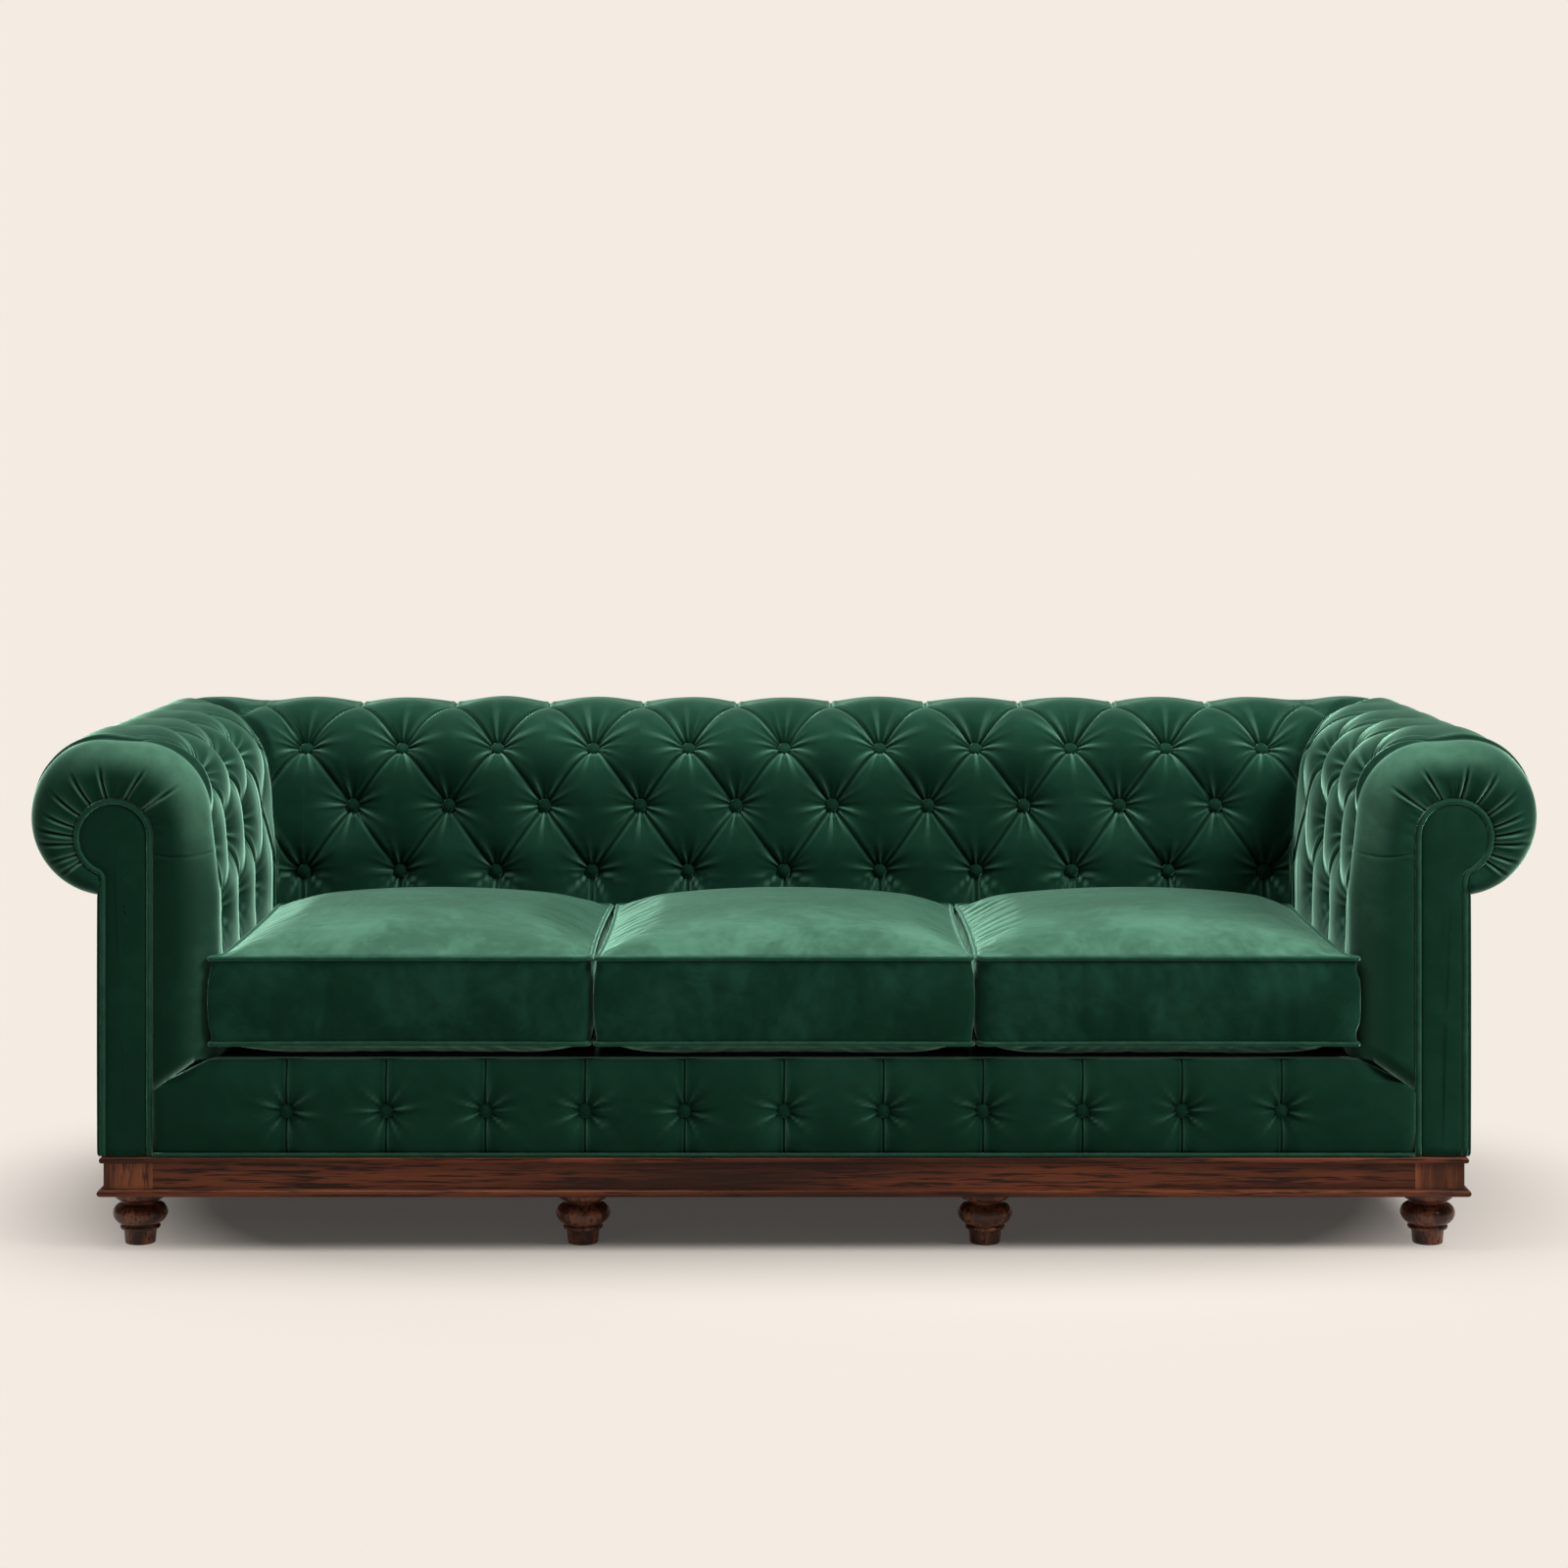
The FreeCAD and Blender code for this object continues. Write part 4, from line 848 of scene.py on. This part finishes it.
# Outside panels
def panel(name, corner, across, out, width, node):
    """A covered panel: a rectangle that swells in the middle and rounds off at its edges."""
    size = np.array([width, PANEL_TOP - BORDER_LOW])
    edge = np.array([0, 0.004, 0.01, 0.02, 0.04])
    share = np.concatenate([edge, np.linspace(0.08, 0.92, 40), 1 - edge[::-1]])
    u, v = np.broadcast_arrays(share[:, None], share[None, :])
    away = np.minimum(np.minimum(u, 1 - u) * size[0], np.minimum(v, 1 - v) * size[1])
    rise = 5.0 * np.sqrt(1 - (1 - np.clip(away / 9, 0, 1)) ** 2)
    rise = rise + 5.0 * (4 * u * (1 - u) * 4 * v * (1 - v)) ** 0.6
    rise = rise + 0.6 * unevenness(u * size[0], v * size[1], 90) * np.clip(away / 40, 0, 1)
    flat = np.array([*corner, BORDER_LOW]) + u[..., None] * size[0] * np.array(across)
    flat = flat + v[..., None] * size[1] * np.array([0, 0, 1])
    front = flat + rise[..., None] * np.array(out)
    put_grids(name, [(front, False, False), (flat[:, ::-1], False, False)], "velvet", [node])


def make_panels():
    """The plain outsides of the arms and of the back."""
    for side, word in ((-1, "left"), (1, "right")):
        corner, width = (side * PANEL_OUT, FACING_FACE), PANEL_END - FACING_FACE
        panel(f"outside_arm_velvet_{word}", corner, (0, 1, 0), (side, 0, 0), width, f"outside_arm_{word}")
    panel("outside_back_velvet", (-1045, PANEL_REAR), (1, 0, 0), (0, 1, 0), 2090, "outside_back")


# Front border
def make_border():
    """Front border: a bulge over its height, drawn in at each button and along the upright
    pleat through it, with a flat top and a thin welt along the foot."""
    near = np.array([0, 1.2, 2.4, 3.6, 5, 7, 10, 14, 19, 26])
    near = np.concatenate([-near[:0:-1], near])
    between = np.linspace(-BORDER_HALF, BORDER_HALF, 180)
    between = between[np.abs(rem(between, BORDER_PITCH)) > 30]
    xs = (np.arange(-5, 6)[:, None] * BORDER_PITCH + near).ravel()
    xs = np.unique(np.round(np.concatenate([xs, between, [-BORDER_HALF, BORDER_HALF]]), 2))
    parts = ((0, 60, 26), (62, 76, 12), (78, BORDER_TALL, 32))
    level = np.concatenate([np.linspace(*part) for part in parts])
    x, z = xs[:, None], level[None, :]
    column, up = rem(x, BORDER_PITCH), z - BORDER_BUTTON
    real = np.abs(x) < 5.5 * BORDER_PITCH
    away = np.hypot(column, up)
    turn = np.arctan2(up, column)
    number = np.round(x / BORDER_PITCH)
    back = 1.3 + 11 * np.abs(2 * z / BORDER_TALL - 1) ** 2.8
    pleat = 5 * gauss(column, 18) + 2.2 * gauss(column, 1.6) - 1.2 * gauss(np.abs(column) - 4, 2.0)
    back = back + real * pleat + real * 19 * np.exp(-((away / 21) ** 1.3))
    folds = np.cos(9 * turn + 4 * chance(number, 1.0)) + 0.6 * np.cos(15 * turn + chance(number, 2.0))
    reach = away / 15
    spread = real * reach**2 * np.exp(2 - 2 * reach) * (0.3 + 0.7 * np.abs(np.cos(turn)))
    back = back + 2.4 * folds * spread + 0.7 * unevenness(x, z, 45)
    back = np.maximum(back, 0.2) + 7 * gauss(BORDER_HALF - np.abs(x), 6)
    # Painted highlight on the fold ridges and beside the pleat, painted shade in the pleat and round each
    # button.
    painted_light = 0.6 * np.clip(-folds - 0.3, 0, 1) * spread + real * 0.5 * gauss(column - 2.4, 1.1)
    crease = real * (gauss(column, 1.3) * 0.6 + gauss(away, 13) * 0.9) - painted_light
    front = points_at(x, FRONT_Y + back, BORDER_LOW + z)
    top_z = BORDER_LOW + BORDER_TALL + np.array([0.6, 0.8, 0.4, 0])
    top = points_at(x, np.array([-440, -432, -424, BORDER_REAR]), top_z)
    points = np.concatenate([front, top, points_at(x, BORDER_REAR, BORDER_LOW)], 1)
    ends = points[[0, -1]]
    ends[..., 1] = BORDER_REAR
    points = np.concatenate([ends[:1], points, ends[1:]])
    under_arm = INSIDE_HALF + CORE_IN - np.abs(points[..., 0])
    cap = DECK - TOE_DROP - 0.5 + under_arm * TOE_DROP / TOE_RUN
    points[..., 2] = np.minimum(points[..., 2], cap)
    values = np.zeros(points.shape[:2])
    values[1:-1, : len(level)] = np.clip(crease, -1, 1)
    piece, index = put_grids("front_border_velvet", [(points, False, True)], "velvet", ["front_border"])
    mark(piece, index, values)
    path = points_at(np.linspace(-963, 963, 90), FRONT_Y + 7.0, BORDER_LOW + 3.2)
    put_grids("border_welt_velvet", [(tube(path, 2.6, (0, 0, 1), ring=False), False, True)], "velvet_piping")


# Loose cushions
def cushion_grids(cells):
    """Top, side and bottom grids of one cushion on the origin, each with its closing flags. The
    plan is a rectangle with corners rounded by squeezing each corner square onto a quarter
    disc, and sides drawn in a little. The crown is a flattened dome over the plan."""
    half = np.array([CUSHION_HALF, CUSHION_REACH]) - 5.5
    radius = 11.0

    def line(size, count):
        t = np.linspace(-1, 1, count + 1)
        return size * np.sin(np.pi / 2 * t) * 0.35 + size * t * 0.65

    def plan(x, y, grow):
        a = np.clip((np.abs(x) - (half[0] - radius)) / radius, 0, 1)
        b = np.clip((np.abs(y) - (half[1] - radius)) / radius, 0, 1)
        round_x = np.sign(x) * (half[0] - radius + radius * a * np.sqrt(1 - b**2 * 0.5))
        round_y = np.sign(y) * (half[1] - radius + radius * b * np.sqrt(1 - a**2 * 0.5))
        u, v = x / half[0], y / half[1]
        x = np.where(a > 0, round_x, x) * (1 + (grow - 5.0 * (1 - v**2) * np.abs(u) ** 3) / half[0])
        y = np.where(b > 0, round_y, y) * (1 + (grow - 5.0 * (1 - u**2) * np.abs(v) ** 3) / half[1])
        return x, y

    line_x, line_y = line(half[0], cells), line(half[1], int(cells * 1.08))
    x, y = np.meshgrid(line_x, line_y, indexing="ij")
    u, v = np.abs(x / half[0]), np.abs(y / half[1])
    dome = (1 - u**2.0) ** 0.60 * (1 - v**2.3) ** 0.50
    belly = ((1 - u**4) * (1 - v**4)) ** 0.5
    top = points_at(*plan(x, y, 0.0), SEAM_HIGH + CROWN * dome)
    bottom = points_at(*plan(x, y, 0.0), SEAM_LOW - BELLY * belly)
    ring_x = np.concatenate([line_x[:-1], 0 * line_y[:-1] + half[0], line_x[:0:-1], 0 * line_y[1:] - half[0]])
    ring_y = np.concatenate([0 * line_x[:-1] - half[1], line_y[:-1], 0 * line_x[1:] + half[1], line_y[:0:-1]])
    level = np.linspace(0, 1, int(cells * 0.24) + 1)[:, None]
    swollen = plan(ring_x[None], ring_y[None], 3.0 * np.sin(np.pi * level))
    side = points_at(*swollen, SEAM_LOW + (SEAM_HIGH - SEAM_LOW) * level)
    return [(top, False, False), (side, False, True), (bottom, False, False)]


def corners_of(mesh):
    """The places of a mesh's points, in metres."""
    flat = np.zeros(len(mesh.vertices) * 3)
    mesh.vertices.foreach_get("co", flat)
    return flat.reshape(-1, 3)


def move_corners(mesh, points):
    """Puts a mesh's points at new places, in metres."""
    mesh.vertices.foreach_set("co", points.ravel())
    mesh.update()


def inflate(piece, pinned, offset):
    """Cloth simulation of a stuffed cover: the cloth is a little larger than its form, it is
    blown up from inside, and its two seams hold still. No point moves more than 9 mm. Offset
    makes the three cushions differ a little."""
    before = corners_of(piece.data)
    seams = piece.vertex_groups.new(name="seams")
    seams.add([int(i) for i in pinned], 1.0, "REPLACE")
    stuffing = piece.modifiers.new("stuffing", "CLOTH")
    settings = stuffing.settings
    settings.quality = 6
    settings.mass = 0.25
    settings.tension_stiffness = settings.compression_stiffness = 18
    settings.shear_stiffness = 6
    settings.bending_stiffness = 0.35
    settings.use_pressure = True
    settings.uniform_pressure_force = 3.2 + 0.3 * offset
    settings.shrink_min = settings.shrink_max = -0.011 - 0.003 * offset
    settings.vertex_group_mass = "seams"
    settings.effector_weights.gravity = 0
    stuffing.collision_settings.use_collision = False
    scene = bpy.context.scene
    for number in range(1, 21):
        scene.frame_set(number)
    after = corners_of(piece.evaluated_get(bpy.context.evaluated_depsgraph_get()).data)
    piece.modifiers.remove(stuffing)
    piece.vertex_groups.clear()
    scene.frame_set(1)
    moved = after - before
    far = np.linalg.norm(moved, axis=1, keepdims=True)
    move_corners(piece.data, before + moved * np.minimum(1, MOST_MOVED / np.maximum(far, 1e-9)))


def make_cushion(word, number):
    """One loose cushion, blown up, then kept within the space between its neighbours and
    fanned out a little at its front, with its foam inside and a cord along each seam. One
    cover of velvet stands for the boxing and for the placket in it."""
    grids = cushion_grids(72)
    centre = np.array([number * CUSHION_PITCH, CUSHION_MIDDLE, 0])
    placed = [(grid + centre, *flags) for grid, *flags in grids]
    nodes = [f"{word}_cover", f"{word}_placket"]
    piece, index = put_grids(f"{word}_velvet", placed, "velvet_cushions", nodes, word)
    top, side = grids[0][0].shape[:2], grids[1][0].shape[:2]
    top_size = top[0] * top[1]
    side_index = index[top_size : top_size + side[0] * side[1]].reshape(side)
    # Painted sheen: the cover's top is painted lighter, most towards its front slope, as a negative crease
    # mask.
    paler = np.zeros(top)
    share = np.linspace(-1, 1, top[1])[1:-1]
    paler[1:-1, 1:-1] = 0.12 + 0.55 * smooth(0.1, 0.85, -share)
    mark(piece, index[:top_size], -paler)
    inflate(piece, np.concatenate([side_index[0], side_index[-1]]), number)
    local = corners_of(piece.data) / MM - centre
    limit = CUSHION_HALF - 0.3
    local[:, 0] = np.clip(local[:, 0], -limit, limit)
    local[:, 1] = np.clip(local[:, 1], -CUSHION_REACH - 2, CUSHION_REACH - 0.5)
    local[:, 2] = np.maximum(local[:, 2], DECK + 0.4)
    points = local + centre
    points[:, 0] *= 1 + 0.024 * gauss(points[:, 1] - CUSHION_Y[0], 20)
    move_corners(piece.data, points * MM)
    finish = piece.modifiers.new("smooth", "SUBSURF")
    finish.levels = finish.render_levels = 1
    middle = np.array([0, 0, (SEAM_LOW + SEAM_HIGH) / 2])
    inner = [((grid - middle) * FOAM_SHARE + middle + centre, *flags) for grid, *flags in grids]
    put_grids(f"{word}_foam", inner, "foam", [f"{word}_filling"], word)
    cords = []
    for path in (points[side_index[0]], points[side_index[-1]]):
        away = (path - centre) * (1, 1, 0)
        path = path + away / np.linalg.norm(away, axis=1, keepdims=True) * 1.8
        cords.append((tube(path, 3.6, (0, 0, 1)), True, True))
    put_grids(f"{word}_piping_velvet", cords, "velvet_piping", [f"{word}_piping"], word)


# Plinth and feet
def make_mouldings():
    """Base moulding and top bead, each a half-round profile carried round a rectangle and
    mitred at its corners, in four lengths."""
    corners = np.array([(-1, -1), (1, -1), (1, 1), (-1, 1)], float)
    size = np.array([PLINTH_HALF, (PLINTH_BACK - PLINTH_FACE) / 2])
    middle = np.array([0, (PLINTH_BACK + PLINTH_FACE) / 2])
    angle = np.linspace(-np.pi / 2, np.pi / 2, 13)
    for number, side in enumerate(("front", "right", "rear", "left")):
        grids = []
        for out, low, high in ((9.0, 82.0, 94.0), (6.0, 133.0, 143.0)):
            reach = np.concatenate([[0], out * np.abs(np.cos(angle)) ** 0.7, [0]])[:, None]
            bulge = (low + high) / 2 + (high - low) / 2 * np.sin(angle)
            height = np.concatenate([[low], bulge, [high]])[:, None]
            pair = corners[number], corners[(number + 1) % 4]
            start, end = (np.concatenate([middle + corner * (size + reach), height], 1) for corner in pair)
            near, far = (np.broadcast_to(line.mean(0), line.shape) for line in (start, end))
            grids.append((np.stack([near, start, (start + end) / 2, end, far]), False, True))
        node = f"plinth_mouldings_{side}"
        piece = put_grids(f"plinth_mouldings_polished_{side}", grids, "mahogany", [node])[0]
        if side in ("left", "right"):
            piece.data.materials[0] = MAHOGANY_SIDE
        piece.data.set_sharp_from_angle(angle=math.radians(50))


FOOT_PROFILE = np.array([
    (0, 0), (21.5, 0), (23, 0.8), (23.4, 2.5), (24.2, 12), (25.2, 21.6), (27.0, 22.2), (29.6, 22.8),
    (30.6, 24.4), (30.8, 25.6), (30.5, 27.2), (29.4, 28.4), (28.4, 29.2), (28.6, 30.0), (31.5, 31.2),
    (36.0, 34.4), (39.4, 38.6), (41.4, 43.2), (42.0, 47.6), (41.2, 52.2), (38.6, 56.6), (34.6, 60.0),
    (31.2, 61.6), (28.6, 62.6), (27.4, 63.8), (27.2, 65.2), (28.4, 66.4), (31.4, 67.4), (35.0, 68.8),
    (38.0, 71.2), (40.0, 74.4), (41.0, 77.6), (41.2, 80.0), (40.8, 81.4), (40.0, 82.0), (0, 82.0),
])


def make_feet():
    """Turned feet: the profile of toe, ring, bulb, neck and cup, spun on each foot's place."""
    outer = PLINTH_HALF - FOOT_IN
    foot = turned(FOOT_PROFILE, circle_of(48))
    grids = []
    for y in (PLINTH_FACE + FOOT_DEEP, PLINTH_BACK - FOOT_DEEP):
        for x in (-outer, -FOOT_MIDDLE, FOOT_MIDDLE, outer):
            grids.append((foot + (x, y, 0), False, True))
    piece = put_grids("feet_turned", grids, "mahogany", ["feet"])[0]
    piece.data.materials[0] = MAHOGANY_TURNED


FRAME_SLOTS = {
    "seat_webbing": "webbing", "dust_cover": "black_lining", "seat_platform": "platform_felt",
    "foot_bolts": "zinc_steel", "foot_nuts": "zinc_steel", "plinth_": "mahogany",
    "arm_liner": "hardboard", "back_liner": "hardboard", "cushion_": "foam",
}
OTHER_GRAIN = {
    "plinth_corner_blocks": MAHOGANY_UPRIGHT,
    "plinth_rail_left": MAHOGANY_SIDE,
    "plinth_rail_right": MAHOGANY_SIDE,
}


def dress_frame():
    """The wooden and woven pieces that keep their solids' shapes get their materials."""
    for name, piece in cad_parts.items():
        slot = next((slot for start, slot in FRAME_SLOTS.items() if name.startswith(start)), "beech")
        piece.data.materials.clear()
        piece.data.materials.append(OTHER_GRAIN.get(name, MATERIALS[slot]))


# Room, light and camera
BACKDROP = (0.905, 0.831, 0.761, 1)
FLOOR_HALF = 30.0


def make_room():
    """A pale floor that keeps the sofa's shadow and turns into the plain backdrop further out,
    and a world that shows the backdrop but gives only a soft warm light."""
    mesh = bpy.data.meshes.new("floor")
    places = [(x * FLOOR_HALF, y * FLOOR_HALF, 0) for x, y in ((-1, -1), (1, -1), (1, 1), (-1, 1))]
    mesh.from_pydata(places, [], [(0, 1, 2, 3)])
    floor = bpy.data.objects.new("floor", mesh)
    bpy.context.scene.collection.objects.link(floor)
    made, recipe, finish = new_material("floor")
    finish({"Base Color": (0.425, 0.400, 0.375, 1), "Roughness": 0.85, "Specular IOR Level": 0.1})
    mapped = recipe.node("Mapping", {"Vector": recipe.place(), "Scale": (0.74, 1.0, 1)}).outputs[0]
    reach = recipe.vector("LENGTH", {0: mapped}).outputs["Value"]
    far = recipe.maths("MAXIMUM", recipe.ramp(reach, 0.62, 1.15), 0.06)
    glow = recipe.node("Emission", {"Color": BACKDROP, "Strength": 1.0}).outputs[0]
    lit = recipe.tree.nodes["Principled BSDF"].outputs[0]
    blend = recipe.node("MixShader", {0: far, 1: lit, 2: glow}).outputs[0]
    feed(recipe.tree, recipe.tree.nodes["Material Output"], {"Surface": blend})
    mesh.materials.append(made)

    world = bpy.data.worlds.new("room")
    bpy.context.scene.world = world
    world.use_nodes = True
    world.node_tree.nodes.clear()
    recipe = Recipe(world.node_tree)
    rays = recipe.node("LightPath").outputs
    shown = recipe.maths("MAXIMUM", rays["Is Camera Ray"], rays["Is Transmission Ray"])
    seen = recipe.node("Background", {"Color": BACKDROP, "Strength": 1.0}).outputs[0]
    soft = recipe.node("Background", {"Color": (1.0, 0.92, 0.80, 1), "Strength": 0.13}).outputs[0]
    mixed = recipe.node("MixShader", {0: shown, 1: soft, 2: seen}).outputs[0]
    recipe.node("OutputWorld", {"Surface": mixed})


LAMPS = {  # place, what it looks at, size, power, colour
    "key": ((2.7, -1.7, 3.1), (0, 0, 0.4), (1.6, 1.6), 185, (1.0, 0.98, 0.95)),
    "fill": ((-3.2, -4.2, 1.2), (0, 0, 0.2), (2.5, 2.0), 10, (1.0, 0.98, 0.94)),
    "above": ((-0.5, 0.3, 3.8), (0, 0, 0.5), (3.6, 1.8), 255, (1.0, 0.99, 0.97)),
}


def make_light():
    """Soft studio light from three oblong lamps."""
    for name, (place, target, size, power, colour) in LAMPS.items():
        data = bpy.data.lights.new(name, "AREA")
        data.shape = "RECTANGLE"
        data.size, data.size_y = size
        data.energy, data.color = power, colour
        made = bpy.data.objects.new(name, data)
        bpy.context.scene.collection.objects.link(made)
        made.location = place
        made.rotation_euler = (Vector(target) - Vector(place)).to_track_quat("-Z", "Y").to_euler()


def make_camera():
    """The photograph's view: level, from the front, with the sofa low in the frame."""
    data = bpy.data.cameras.new("camera")
    camera = bpy.data.objects.new("camera", data)
    bpy.context.scene.collection.objects.link(camera)
    camera.location = (0.0, -5.55, 1.203)
    camera.rotation_euler = (math.radians(90), 0, 0)
    data.sensor_width = 36
    data.lens = 76.75
    data.shift_y = -328 / 1600
    data.clip_end = 100
    bpy.context.scene.camera = camera


dress_frame()
make_back_pad()
make_arm_pad(-1)
make_arm_pad(1)
make_buttons()
make_facings()
make_panels()
make_border()
make_mouldings()
make_feet()
for offset, cushion_name in ((-1, "cushion_left"), (0, "cushion_middle"), (1, "cushion_right")):
    make_cushion(cushion_name, offset)
make_room()
make_light()
make_camera()
bpy.context.scene.view_settings.view_transform = "Standard"
